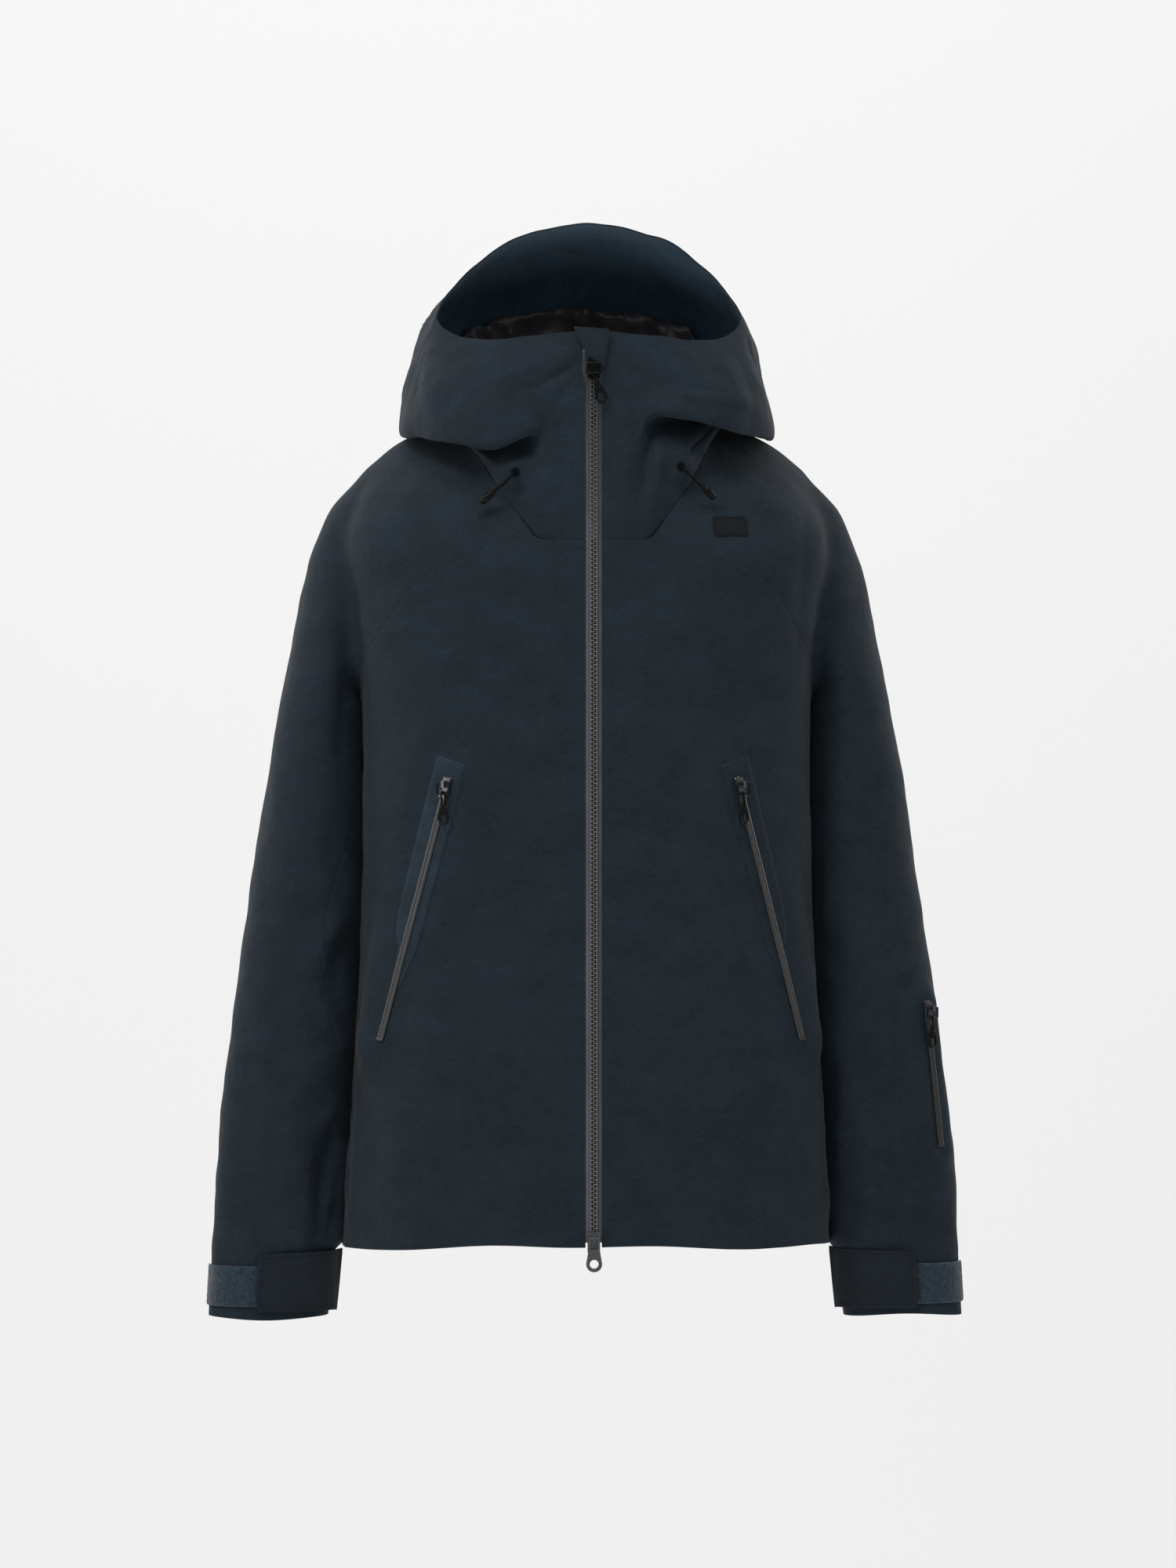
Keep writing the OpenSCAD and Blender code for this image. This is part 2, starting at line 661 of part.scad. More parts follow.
module cord_tip(route) {
  m = len(route) - 1;
  translate(route[m]) aim(route[m] - route[m - 1]) {
    cylinder(r1 = 1.9, r2 = 2.4, h = tip_len - 2, $fn = 32);
    translate([0, 0, tip_len - 2]) cylinder(r1 = 2.4, r2 = 1.4, h = 2, $fn = 32);
  }
}

// The eyelet stands behind the start of the cord and is bored for it
module eyelet(route) {
  translate(route[0] + [0, 0.3, 0]) rotate([90, 0, 0]) difference() {
    cylinder(r = 3.6, h = 1.4, center = true, $fn = 40);
    cylinder(r = cord_d / 2 + 0.35, h = 4, center = true, $fn = 32);
  }
}

module hood_cord_right() { color(black) at_body() cord_tube(cord_route_right); }
module hood_cord_left() { color(black) at_body() cord_tube(cord_route_left); }
module hood_cord_tip_right() { color(black) at_body() cord_tip(cord_route_right); }
module hood_cord_tip_left() { color(black) at_body() cord_tip(cord_route_left); }
module hood_eyelet_right() { color(black) at_body() eyelet(cord_route_right); }
module hood_eyelet_left() { color(black) at_body() eyelet(cord_route_left); }

front_body_right();
front_body_left();
back_body();
hem_band_right();
hem_band_left();
hem_band_back();
shoulder_right();
shoulder_left();
sleeve_right();
sleeve_left();
throat_panel_right();
throat_panel_left();
hood_side_right();
hood_side_left();
hood_centre();
hood_brim();
zip_garage();
neck_lining();
body_lining();
powder_skirt();
hang_loop();
hand_pocket_bag_right();
hand_pocket_bag_left();
main_zip_tape_right();
main_zip_tape_left();
main_zip_teeth_right();
main_zip_teeth_left();
top_slider();
top_slider_ring();
top_cord_pull();
bottom_slider();
bottom_slider_pull();
hand_zip_right();
hand_slider_right();
hand_ring_right();
hand_cord_pull_right();
hand_zip_left();
hand_slider_left();
hand_ring_left();
hand_cord_pull_left();
sleeve_zip();
sleeve_slider();
sleeve_ring();
sleeve_cord_pull();
cuff_tab_right();
cuff_tab_left();
cuff_hook_patch_right();
cuff_hook_patch_left();
cuff_loop_patch_right();
cuff_loop_patch_left();
hood_cord_right();
hood_cord_left();
hood_cord_tip_right();
hood_cord_tip_left();
hood_eyelet_right();
hood_eyelet_left();
chest_emblem();
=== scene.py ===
"""The looks of the ski jacket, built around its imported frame."""

import math

import bmesh
import bpy
import numpy as np
from mathutils import Matrix, Vector, noise
from mathutils.bvhtree import BVHTree

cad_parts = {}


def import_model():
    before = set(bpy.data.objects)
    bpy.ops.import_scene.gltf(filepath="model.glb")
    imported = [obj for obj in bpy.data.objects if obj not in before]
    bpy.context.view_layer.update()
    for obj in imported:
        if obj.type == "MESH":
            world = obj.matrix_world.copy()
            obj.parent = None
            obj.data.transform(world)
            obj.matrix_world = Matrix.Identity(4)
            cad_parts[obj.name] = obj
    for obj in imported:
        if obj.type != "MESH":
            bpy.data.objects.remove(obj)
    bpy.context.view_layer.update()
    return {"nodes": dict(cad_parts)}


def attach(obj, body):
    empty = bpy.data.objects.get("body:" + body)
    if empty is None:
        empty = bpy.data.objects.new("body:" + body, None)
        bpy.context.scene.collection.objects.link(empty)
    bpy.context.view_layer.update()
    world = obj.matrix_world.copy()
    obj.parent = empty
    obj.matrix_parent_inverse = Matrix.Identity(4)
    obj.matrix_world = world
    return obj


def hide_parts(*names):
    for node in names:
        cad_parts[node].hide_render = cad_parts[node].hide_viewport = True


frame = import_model()

# Shapes are worked out in millimetres in the body's own frame, whose middle plane is
# MID_Y in front of the hang loop. world() turns them into the frame's metres.
MM = 0.001
MID_Y = -88.0
SIDES = {"right": -1, "left": 1}


def world(points):
    return (np.asarray(points, float) + (0, MID_Y, 0)) * MM


# ---------------------------------------------------------------- camera, light, floor

EYE_DISTANCE = 4.4
EYE_TURN = math.radians(3)
PAGE_WIDTH = 0.99
AIM = Vector((0.002, MID_Y * MM, -0.317))
FLOOR_Z = -2.2


def make_camera():
    data = bpy.data.cameras.new("camera")
    data.sensor_fit = "AUTO"
    data.sensor_width = 36
    data.lens = 36 * EYE_DISTANCE / (PAGE_WIDTH * 2000 / 1500)
    data.clip_end = 60
    camera = bpy.data.objects.new("camera", data)
    back = Vector((-math.sin(EYE_TURN), -math.cos(EYE_TURN), 0))
    camera.location = AIM + back * EYE_DISTANCE
    camera.rotation_euler = (-back).to_track_quat("-Z", "Y").to_euler()
    bpy.context.scene.collection.objects.link(camera)
    bpy.context.scene.camera = camera


def area_light(name, place, aim, size, watts, colour=(1, 1, 1)):
    data = bpy.data.lights.new(name, "AREA")
    data.shape = "RECTANGLE"
    data.size, data.size_y = size
    data.energy = watts
    data.color = colour
    light = bpy.data.objects.new(name, data)
    light.location = place
    light.rotation_euler = (Vector(aim) - Vector(place)).to_track_quat("-Z", "Y").to_euler()
    bpy.context.scene.collection.objects.link(light)


def make_stage():
    """A pale floor that curves up into a pale backdrop."""
    bm = bmesh.new()
    depth, height, bend, half = 5.4, 8.0, 1.6, 10.0
    profile = [(-9.0, FLOOR_Z)]
    for k in range(13):
        a = math.pi / 2 * k / 12
        profile.append((depth - bend + bend * math.sin(a), FLOOR_Z + bend - bend * math.cos(a)))
    profile.append((depth, FLOOR_Z + height))
    rows = [[bm.verts.new((x, y, z)) for y, z in profile] for x in (-half, half)]
    for a0, a1, b0, b1 in zip(rows[0], rows[0][1:], rows[1], rows[1][1:]):
        bm.faces.new((a0, b0, b1, a1))
    mesh = bpy.data.meshes.new("backdrop")
    bm.to_mesh(mesh)
    bm.free()
    for face in mesh.polygons:
        face.use_smooth = True
    backdrop = bpy.data.objects.new("backdrop", mesh)
    bpy.context.scene.collection.objects.link(backdrop)
    paper = bpy.data.materials.new("paper")
    paper.use_nodes = True
    shader = paper.node_tree.nodes["Principled BSDF"]
    shader.inputs["Base Color"].default_value = (0.5, 0.5, 0.5, 1)
    shader.inputs["Roughness"].default_value = 0.95
    shader.inputs["Specular IOR Level"].default_value = 0.1
    shader.inputs["Emission Color"].default_value = (1, 1, 1, 1)
    shader.inputs["Emission Strength"].default_value = 0.46
    mesh.materials.append(paper)


def make_light():
    world_light = bpy.data.worlds.new("studio")
    bpy.context.scene.world = world_light
    world_light.use_nodes = True
    sky = world_light.node_tree.nodes["Background"]
    sky.inputs["Color"].default_value = (1, 1, 1, 1)
    sky.inputs["Strength"].default_value = 0.3
    area_light("key", (-1.9, -2.6, 2.6), (0, -0.1, -0.2), (1.3, 1.3), 70)
    area_light("fill", (3.0, -2.8, 1.5), (0, -0.1, -0.35), (1.6, 2.2), 13)
    area_light("gleam", (-3.0, -1.75, -0.2), (0, -0.1, -0.4), (0.5, 1.5), 10)
    area_light("rim_left", (-2.6, 0.6, 0.9), (0, -0.1, -0.2), (0.8, 2.4), 18)
    area_light("rim_right", (2.6, 0.6, 0.9), (0, -0.1, -0.2), (0.8, 2.4), 18)
    area_light("paper_wash", (0, 2.4, 3.6), (0, 5.4, -0.6), (6.0, 1.0), 90)
    area_light("hood_top", (0, -1.5, 1.9), (0, 0, 0.08), (0.7, 0.7), 15)
    bpy.context.scene.view_settings.view_transform = "Standard"


make_camera()

# ---------------------------------------------------------------- the jacket's surfaces

RING_POW = 0.625
SLEEVE_POW = 0.85
BUST_Z = -158.0
FRONT_DEPTH = 128.0
BACK_DEPTH = 126.0
TAPE_HALF = 6.6


def table(rows):
    """A smooth curve through (z, value) rows, as a function of z."""
    rows = sorted(rows)
    z = np.array([r[0] for r in rows], float)
    value = np.array([r[1] for r in rows], float)

    def at(x):
        x = np.asarray(x, float)
        return sum(np.interp(x + d, z, value) for d in (-16, -8, 0, 8, 16)) / 5

    return at


body_half = table([
    (-760, 206), (-712, 204), (-594, 199), (-535, 194), (-410, 188), (-224, 188), (BUST_Z, 196)])
sleeve_out = table([
    (-800, 319), (-762, 317), (-708, 314), (-640, 311), (-587, 306), (-506, 296), (-409, 282), (-335, 271),
    (-261, 259), (-187, 246), (-150, 238), (-116, 229), (-91, 219), (-69, 203), (-50, 176)])
sleeve_in = table([
    (-800, 218), (-762, 216), (-700, 213), (-594, 208), (-535, 204), (-410, 198), (-300, 197), (-240, 194),
    (-200, 165), (-150, 140), (-50, 132)])
sleeve_deep = table([
    (-800, 27), (-762, 27), (-700, 32), (-640, 40), (-560, 50), (-400, 62), (-240, 68), (-150, 66),
    (-100, 58), (-70, 42), (-50, 18)])
sleeve_mid = table([(-800, -10), (-762, -10), (-600, -6), (-450, 5), (-240, 18), (-50, 15)])


def ease(r):
    return r ** 1.6 / (r ** 1.6 + (1 - r) ** 1.6)


def corner(r, power):
    a = np.pi / 2 * ease(np.clip(r, 0, 1))
    return np.sin(a) ** power, np.clip(np.cos(a), 0, 1) ** power


def quarter(q, power):
    """Unit rounded box: q 0 front, 1 +X side, 2 back, 3 -X side."""
    q = np.asarray(q, float) % 4
    k = np.floor(q).astype(int)
    s, c = corner(q - k, power)
    x = np.choose(k, [s, c, -s, -c])
    y = np.choose(k, [-c, s, c, -s])
    return x, y


def hem_z(y):
    """Height of the hem's edge, which drops from the front to the back."""
    return -696 - 16 * np.clip((y + FRONT_DEPTH) / (FRONT_DEPTH + BACK_DEPTH), 0, 1)


NECK = np.array([
    [0, -128, -117], [38, -126, -117], [76, -110, -75], [92, -85, -45], [99, -15, -10],
    [92, 35, -3], [72, 68, 0], [40, 88, 1], [0, 95, 2]], float)


def mirrored_rows(p):
    """Rows of points from front to back on the left, then back again on the right, as a loop."""
    right = p[-2:0:-1] * (-1, 1, 1)
    return np.concatenate([p, right])


def spline(p, t, closed=False):
    """Catmull-Rom through the rows of p at the places t, counted in rows."""
    n = len(p)
    t = np.asarray(t, float)
    i = np.floor(t).astype(int)
    if not closed:
        i = np.clip(i, 0, n - 2)
    r = t - i
    pick = (lambda k: p[k % n]) if closed else (lambda k: p[np.clip(k, 0, n - 1)])
    a, b, c, d = pick(i - 1), pick(i), pick(i + 1), pick(i + 2)
    r = r.reshape(r.shape + (1,) * (p.ndim - 1))
    bend, twist = 2 * a - 5 * b + 4 * c - d, 3 * b - a - 3 * c + d
    return 0.5 * (2 * b + (c - a) * r + bend * r ** 2 + twist * r ** 3)


def body_ring(q, z):
    x, y = quarter(q, RING_POW)
    return np.stack([body_half(z) * x, np.where(y < 0, FRONT_DEPTH, BACK_DEPTH) * y, z + 0 * x], -1)


def bust(q, t):
    """The shoulders: t 0 is the ring at BUST_Z and 1 is the neck seam."""
    a = body_ring(q, np.full(np.shape(q), BUST_Z))
    n = spline(mirrored_rows(NECK), 4 * (np.asarray(q) % 4), closed=True)
    c1 = np.stack([a[..., 0] + 0.27 * (a - n)[..., 0], a[..., 1] + 0.27 * (a - n)[..., 1],
                   a[..., 2] + 0.65 * (n - a)[..., 2]], -1)
    c2 = np.stack([n[..., 0] + 0.73 * (a - n)[..., 0], n[..., 1] + 0.73 * (a - n)[..., 1],
                   n[..., 2] + 0.147 * (a - n)[..., 2]], -1)
    r = 1 - t
    return a * r ** 3 + c1 * 3 * r * r * t + c2 * 3 * r * t * t + n * t ** 3


def sleeve(u, z, out=0.0):
    x, y = quarter(u, SLEEVE_POW)
    half = (sleeve_out(z) - sleeve_in(z)) / 2
    return np.stack([(sleeve_out(z) + sleeve_in(z)) / 2 + x * (half + out),
                     sleeve_mid(z) + y * (sleeve_deep(z) + out), z + 0 * x], -1)


# ---------------------------------------------------------------- mesh helpers

def closed_solid(rings):
    """Points and faces of a solid through closed rings of equal length, from low to high."""
    n = len(rings[0])
    points = np.concatenate(rings)
    faces = []
    for j in range(len(rings) - 1):
        for i in range(n):
            k = (i + 1) % n
            faces.append((j * n + i, j * n + k, (j + 1) * n + k, (j + 1) * n + i))
    faces.append(tuple(range(n - 1, -1, -1)))
    faces.append(tuple(range((len(rings) - 1) * n, len(rings) * n)))
    return points, faces


def grid_faces(nu, nv, closed=False):
    """Faces of nv rows of nu points."""
    faces = []
    for j in range(nv - 1):
        for i in range(nu if closed else nu - 1):
            k = (i + 1) % nu
            faces.append((j * nu + i, j * nu + k, (j + 1) * nu + k, (j + 1) * nu + i))
    return faces


def mesh_object(name, points, faces, smooth=True):
    """A new object from points in millimetres in the body's frame."""
    mesh = bpy.data.meshes.new(name)
    mesh.from_pydata(world(points).tolist(), [], [tuple(int(i) for i in f) for f in faces])
    mesh.validate()
    mesh.update()
    if smooth:
        mesh.polygons.foreach_set("use_smooth", [True] * len(mesh.polygons))
    obj = bpy.data.objects.new(name, mesh)
    bpy.context.scene.collection.objects.link(obj)
    return obj


def apply_modifiers(obj):
    dg = bpy.context.evaluated_depsgraph_get()
    mesh = bpy.data.meshes.new_from_object(obj.evaluated_get(dg))
    obj.modifiers.clear()
    old = obj.data
    obj.data = mesh
    bpy.data.meshes.remove(old)
    return obj


def faces_out(obj):
    """Turns every face of a closed piece outwards."""
    bm = bmesh.new()
    bm.from_mesh(obj.data)
    bmesh.ops.recalc_face_normals(bm, faces=bm.faces)
    bm.to_mesh(obj.data)
    bm.free()


def solidify(obj, thick, offset=-1.0):
    m = obj.modifiers.new("thickness", "SOLIDIFY")
    m.thickness = thick * MM
    m.offset = offset
    m.use_even_offset = False
    return apply_modifiers(obj)


def bevel(obj, width, segments=2, angle=35):
    m = obj.modifiers.new("bevel", "BEVEL")
    m.width = width * MM
    m.segments = segments
    m.limit_method = "ANGLE"
    m.angle_limit = math.radians(angle)
    return apply_modifiers(obj)


def voxel_remesh(obj, size):
    m = obj.modifiers.new("remesh", "REMESH")
    m.mode = "VOXEL"
    m.voxel_size = size * MM
    return apply_modifiers(obj)


def joined(name, objects):
    with bpy.context.temp_override(active_object=objects[0], object=objects[0], selected_objects=objects,
                                   selected_editable_objects=objects):
        bpy.ops.object.join()
    objects[0].name = name
    objects[0].data.name = name
    return objects[0]


def finish_piece(obj, material, body="root", nodes=()):
    obj.data.materials.clear()
    obj.data.materials.append(material)
    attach(obj, body)
    if nodes:
        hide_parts(*nodes)
    return obj


def read_points(mesh):
    co = np.empty(len(mesh.vertices) * 3, np.float32)
    mesh.vertices.foreach_get("co", co)
    return co.reshape(-1, 3).astype(float) / MM - (0, MID_Y, 0)


def normals_of(points, faces):
    n = np.zeros_like(points)
    quads = np.array([f if len(f) == 4 else (*f, f[-1]) for f in faces])
    a, b, c, d = (points[quads[:, k]] for k in range(4))
    fn = np.cross(c - a, d - b)
    for k in range(4):
        np.add.at(n, quads[:, k], fn)
    return n / np.maximum(np.linalg.norm(n, axis=1, keepdims=True), 1e-9)


def smoothed(points, faces, rounds, strength=0.5, weight=None):
    """Moves each point towards the mean of its neighbours."""
    pairs = set()
    for f in faces:
        for a, b in zip(f, (*f[1:], f[0])):
            pairs.add((a, b) if a < b else (b, a))
    e = np.array(sorted(pairs))
    count = np.bincount(e.ravel(), minlength=len(points))[:, None]
    w = strength if weight is None else strength * weight[:, None]
    for _ in range(rounds):
        total = np.zeros_like(points)
        np.add.at(total, e[:, 0], points[e[:, 1]])
        np.add.at(total, e[:, 1], points[e[:, 0]])
        points = points + w * (total / np.maximum(count, 1) - points)
    return points


def line_distance(p, path):
    """Distance of each 2-D point from a 2-D path, and how far along the path it is, 0 to 1."""
    path = np.asarray(path, float)
    best = np.full(len(p), 1e9)
    along = np.zeros(len(p))
    lengths = np.linalg.norm(np.diff(path, axis=0), axis=1)
    run, total = 0.0, lengths.sum()
    for a, b, l in zip(path, path[1:], lengths):
        d = b - a
        t = np.clip(((p - a) @ d) / max(l * l, 1e-9), 0, 1)
        dist = np.linalg.norm(p - (a + t[:, None] * d), axis=1)
        closer = dist < best
        best[closer] = dist[closer]
        along[closer] = ((run + t * l) / total)[closer]
        run += l
    return best, along


def noise_at(points, scale, seed=0.0):
    """Smooth noise about -1 to 1 at points in millimetres."""
    k = 1.0 / scale
    return np.array([noise.noise(Vector((x * k + seed, y * k, z * k))) for x, y, z in points]) * 1.6


# ---------------------------------------------------------------- materials

def linear(rgb):
    return tuple((c / 255 / 12.92) if c <= 10 else ((c / 255 + 0.055) / 1.055) ** 2.4 for c in rgb)


class Look:
    """A procedural material whose coordinates are the piece's own, in metres."""

    def __init__(self, name, rgb, rough=0.8, specular=0.3, metallic=0.0, sheen=0.0):
        self.material = bpy.data.materials.new(name)
        self.material.use_nodes = True
        self.tree = self.material.node_tree
        self.shader = self.tree.nodes["Principled BSDF"]
        self.base = linear(rgb)
        self.shader.inputs["Roughness"].default_value = rough
        self.shader.inputs["Specular IOR Level"].default_value = specular
        self.shader.inputs["Metallic"].default_value = metallic
        self.shader.inputs["Sheen Weight"].default_value = sheen
        self.shader.inputs["Sheen Roughness"].default_value = 0.4
        self.place = self.node("ShaderNodeTexCoord").outputs["Object"]
        self.colour = None
        self.height = None

    def node(self, kind, **values):
        n = self.tree.nodes.new(kind)
        for key, value in values.items():
            if hasattr(n, key):
                setattr(n, key, value)
            else:
                n.inputs[key.replace("_", " ")].default_value = value
        return n

    def link(self, a, b):
        self.tree.links.new(a, b)

    def axis(self, name):
        parts = self.node("ShaderNodeSeparateXYZ")
        self.link(self.place, parts.inputs[0])
        return parts.outputs[name]

    def noise(self, scale, detail=2.0, rough=0.5):
        """Noise in which scale is bumps a metre along X, Y and Z."""
        mapping = self.node("ShaderNodeMapping")
        mapping.inputs["Scale"].default_value = scale
        self.link(self.place, mapping.inputs["Vector"])
        tex = self.node("ShaderNodeTexNoise", Scale=1.0, Detail=detail, Roughness=rough)
        self.link(mapping.outputs["Vector"], tex.inputs["Vector"])
        return tex.outputs["Fac"]

    def wave(self, scale, turn=(0, 0, 0), distort=0.0):
        mapping = self.node("ShaderNodeMapping")
        mapping.inputs["Rotation"].default_value = turn
        self.link(self.place, mapping.inputs["Vector"])
        tex = self.node("ShaderNodeTexWave", Scale=scale, Distortion=distort)
        self.link(mapping.outputs["Vector"], tex.inputs["Vector"])
        return tex.outputs["Fac"]

    def math(self, operation, a, b=0.5):
        n = self.tree.nodes.new("ShaderNodeMath")
        n.operation = operation
        for socket, value in zip(n.inputs, (a, b)):
            if isinstance(value, (int, float)):
                socket.default_value = value
            else:
                self.link(value, socket)
        return n.outputs[0]

    def shade(self, factor, low, high, lo=0.35, hi=0.65):
        """Multiplies the colour so far by low to high as factor goes from lo to hi."""
        ramp = self.node("ShaderNodeMapRange")
        self.link(factor, ramp.inputs["Value"])
        for key, value in (("From Min", lo), ("From Max", hi), ("To Min", low), ("To Max", high)):
            ramp.inputs[key].default_value = value
        if self.colour is None:
            start = self.node("ShaderNodeRGB")
            start.outputs[0].default_value = (*self.base, 1)
            self.colour = start.outputs[0]
        scale = self.node("ShaderNodeVectorMath", operation="SCALE")
        self.link(self.colour, scale.inputs[0])
        self.link(ramp.outputs["Result"], scale.inputs["Scale"])
        self.colour = scale.outputs[0]
        return self

    def bump(self, factor, depth):
        """Adds a relief of that depth in millimetres."""
        part = self.math("MULTIPLY", factor, depth)
        self.height = part if self.height is None else self.math("ADD", self.height, part)
        return self

    def done(self):
        if self.colour is None:
            self.shader.inputs["Base Color"].default_value = (*self.base, 1)
        else:
            self.link(self.colour, self.shader.inputs["Base Color"])
        if self.height is not None:
            bump = self.node("ShaderNodeBump", Strength=1.0, Distance=MM)
            self.link(self.height, bump.inputs["Height"])
            self.link(bump.outputs["Normal"], self.shader.inputs["Normal"])
        return self.material


def shell_look(name, rgb, gain=1.0):
    """Matt navy shell cloth with a fine heather that runs sideways."""
    look = Look(name, rgb, rough=0.8, specular=0.16, sheen=0.06)
    heather = look.noise((330, 330, 1500), 3, 0.6)
    look.shade(heather, 1 - 0.2 * gain, 1 + 0.2 * gain, 0.36, 0.64)
    look.shade(look.noise((26, 26, 40), 3), 0.9, 1.1)
    look.shade(look.noise((110, 110, 150), 2), 0.93, 1.07)
    look.bump(look.noise((42, 42, 30), 3, 0.6), 1.1)
    look.bump(look.noise((1500, 1500, 2600), 2), 0.16)
    look.bump(heather, 0.09)
    return look.done()


def lining_look():
    """Thin black taffeta that shines along its wrinkles; its colour is painted mid-grey, as painted sheen for
    the broad glints.
    """
    # Painted sheen: a mid-grey base for black cloth.
    look = Look("lining_painted_sheen", (94, 92, 94), rough=0.32, specular=0.8, sheen=0.1)
    look.shade(look.noise((60, 60, 60), 3), 0.8, 1.3)
    look.bump(look.noise((90, 90, 55), 3, 0.6), 1.2)
    look.bump(look.noise((2200, 2200, 2200), 1), 0.05)
    return look.done()


def tape_look(name, rgb, rough=0.36, core=0.0, specular=0.5):
    """Coated zip tape over a fine twill; with a core, painted dark nearer the middle than core, for the dark
    cord and the shade between the teeth.
    """
    look = Look(name, rgb, rough=rough, specular=specular)
    if core:
        # Painted shade, partly the dark cord: near black within core of the middle, where the gaps between
        # the teeth lie.
        look.shade(look.math("ABSOLUTE", look.axis("X")), 0.06, 1.0, core, core + 0.0003)
        # Painted light: the -X strip lighter and the +X strip darker, as the key lamp falls from -X.
        look.shade(look.axis("X"), 1.2, 0.85, -0.001, 0.001)
        # Painted shade: darker towards the top.
        look.shade(look.axis("Z"), 1.0, 0.2, -0.12, 0.028)
    twill = look.wave(520, (0, 0, 0.8))
    look.shade(twill, 0.95, 1.05, 0.2, 0.8)
    look.shade(look.noise((150, 150, 30), 2), 0.85, 1.12)
    look.bump(twill, 0.03)
    return look.done()


def metal_look(name, rgb, rough=0.34, metallic=0.75):
    look = Look(name, rgb, rough=rough, specular=0.5, metallic=metallic)
    look.shade(look.noise((900, 900, 900), 3), 0.85, 1.15)
    look.bump(look.noise((1600, 1600, 1600), 2), 0.03)
    return look.done()


def moulded_look(name, rgb, rough=0.46, specular=0.45, painted_top_shade=False):
    """Moulded plastic or rubber with a fine grain."""
    look = Look(name, rgb, rough=rough, specular=specular)
    if painted_top_shade:
        # Painted shade: darker towards the top.
        look.shade(look.axis("Z"), 1.0, 0.45, -0.14, 0.01)
    look.shade(look.noise((700, 700, 700), 3), 0.88, 1.12)
    look.bump(look.noise((4200, 4200, 4200), 2), 0.05)
    return look.done()


def cord_look():
    """A round braid: two slanting sets of strands."""
    look = Look("braided_cord", (10, 11, 12), rough=0.4, specular=0.08, sheen=0.01)
    braid = look.math("MAXIMUM", look.wave(520, (0.4, 0.7, 0.5)), look.wave(520, (0.4, -0.7, -0.5)))
    look.shade(braid, 0.55, 1.4, 0.3, 1.0)
    look.bump(braid, 0.18)
    return look.done()


def pile_look(name, rgb):
    """Fuzzy loop pile."""
    look = Look(name, rgb, rough=0.9, specular=0.15, sheen=0.5)
    tufts = look.noise((620, 620, 620), 4, 0.75)
    look.shade(tufts, 0.5, 1.5, 0.3, 0.7)
    look.shade(look.noise((290, 290, 290), 3, 0.7), 0.72, 1.28)
    look.bump(tufts, 0.8)
    return look.done()


def webbing_look():
    look = Look("webbing_weave", (30, 30, 32), rough=0.7, specular=0.3, sheen=0.2)
    ribs = look.wave(260, (0, 0, 0))
    look.shade(ribs, 0.7, 1.3, 0.2, 0.8)
    look.bump(ribs, 0.2)
    return look.done()


SHELL = shell_look("shell_cloth", (28, 38, 46))
# A lighter copy of the shell cloth: painted light for the wearer's right welt, on the lamp-lit side.
WELT_PAINTED_LIGHT = shell_look("welt_cloth_painted_light", (36, 47, 56), 0.6)
CUFF_TAB = shell_look("tab_cloth", (26, 33, 39), 0.6)
# The hood's inner face: the shell cloth painted about three times lighter, as painted light inside the hood.
INNER_PAINTED_LIGHT = shell_look("inner_cloth_painted_light", (82, 108, 126), 0.7)
BACKING = shell_look("backing_cloth", (50, 63, 72), 0.7)
LINING = lining_look()
# The main zip's tape, with painted shade at its middle and top and painted light on its -X strip.
MAIN_TAPE = tape_look("main_zip_coating", (70, 72, 76), 0.4, 0.0034)
POCKET_TAPE = tape_look("pocket_zip_coating", (25, 26, 30), 0.2, specular=0.9)
# Black plastic teeth: their mid-grey colour is painted highlight for their glints, with painted shade towards
# the top.
TOOTH = moulded_look("tooth_plastic", (94, 96, 100), 0.3, 0.6, True)
BLACK_METAL = metal_look("black_metal", (30, 31, 33), 0.3, 0.9)
GREY_METAL = metal_look("slider_metal", (96, 98, 102), 0.32)
MOULDED = moulded_look("moulded_black", (10, 11, 12), 0.25, 0.14)
CORD = cord_look()
LOOP_PILE = pile_look("loop_pile_blue", (42, 56, 66))
HOOK_PILE = pile_look("hook_pile_dark", (34, 38, 43))
WEBBING = webbing_look()
THREAD = moulded_look("thread", (22, 28, 34), 0.6, 0.06)
BADGE = shell_look("badge_felt", (19, 23, 28), 1.3)

# ---------------------------------------------------------------- cords

CORD_D = 2.5
TIP_LENGTH = 14.0
CORD_ROUTES = {
    "right": [(-64, -124.5, -62), (-64.3, -129, -62.4), (-67, -132, -65), (-71, -132.5, -69),
              (-75.5, -129, -73), (-79, -125.8, -75.6), (-82, -124.4, -78.2)],
    "left": [(72, -122.3, -57), (72.3, -126.8, -57.4), (75, -129.8, -60), (79, -130.3, -64),
             (83.5, -127, -68.2), (87, -124.2, -71.2), (90, -122.8, -73.8)],
}


def tube(name, path, radii, sides=16):
    """A round solid along a path of points, with a radius at each one."""
    path = np.asarray(path, float)
    ahead = np.gradient(path, axis=0)
    ahead /= np.linalg.norm(ahead, axis=1, keepdims=True)
    up = np.array([0.0, 0.0, 1.0]) if abs(ahead[0][2]) < 0.9 else np.array([1.0, 0.0, 0.0])
    rings = []
    for p, d, r in zip(path, ahead, radii):
        up = up - d * (up @ d)
        up /= np.linalg.norm(up)
        side = np.cross(d, up)
        rings.append([p + r * (math.cos(a) * side + math.sin(a) * up)
                      for a in np.arange(sides) * 2 * math.pi / sides])
    return mesh_object(name, *closed_solid([np.array(r) for r in rings]))


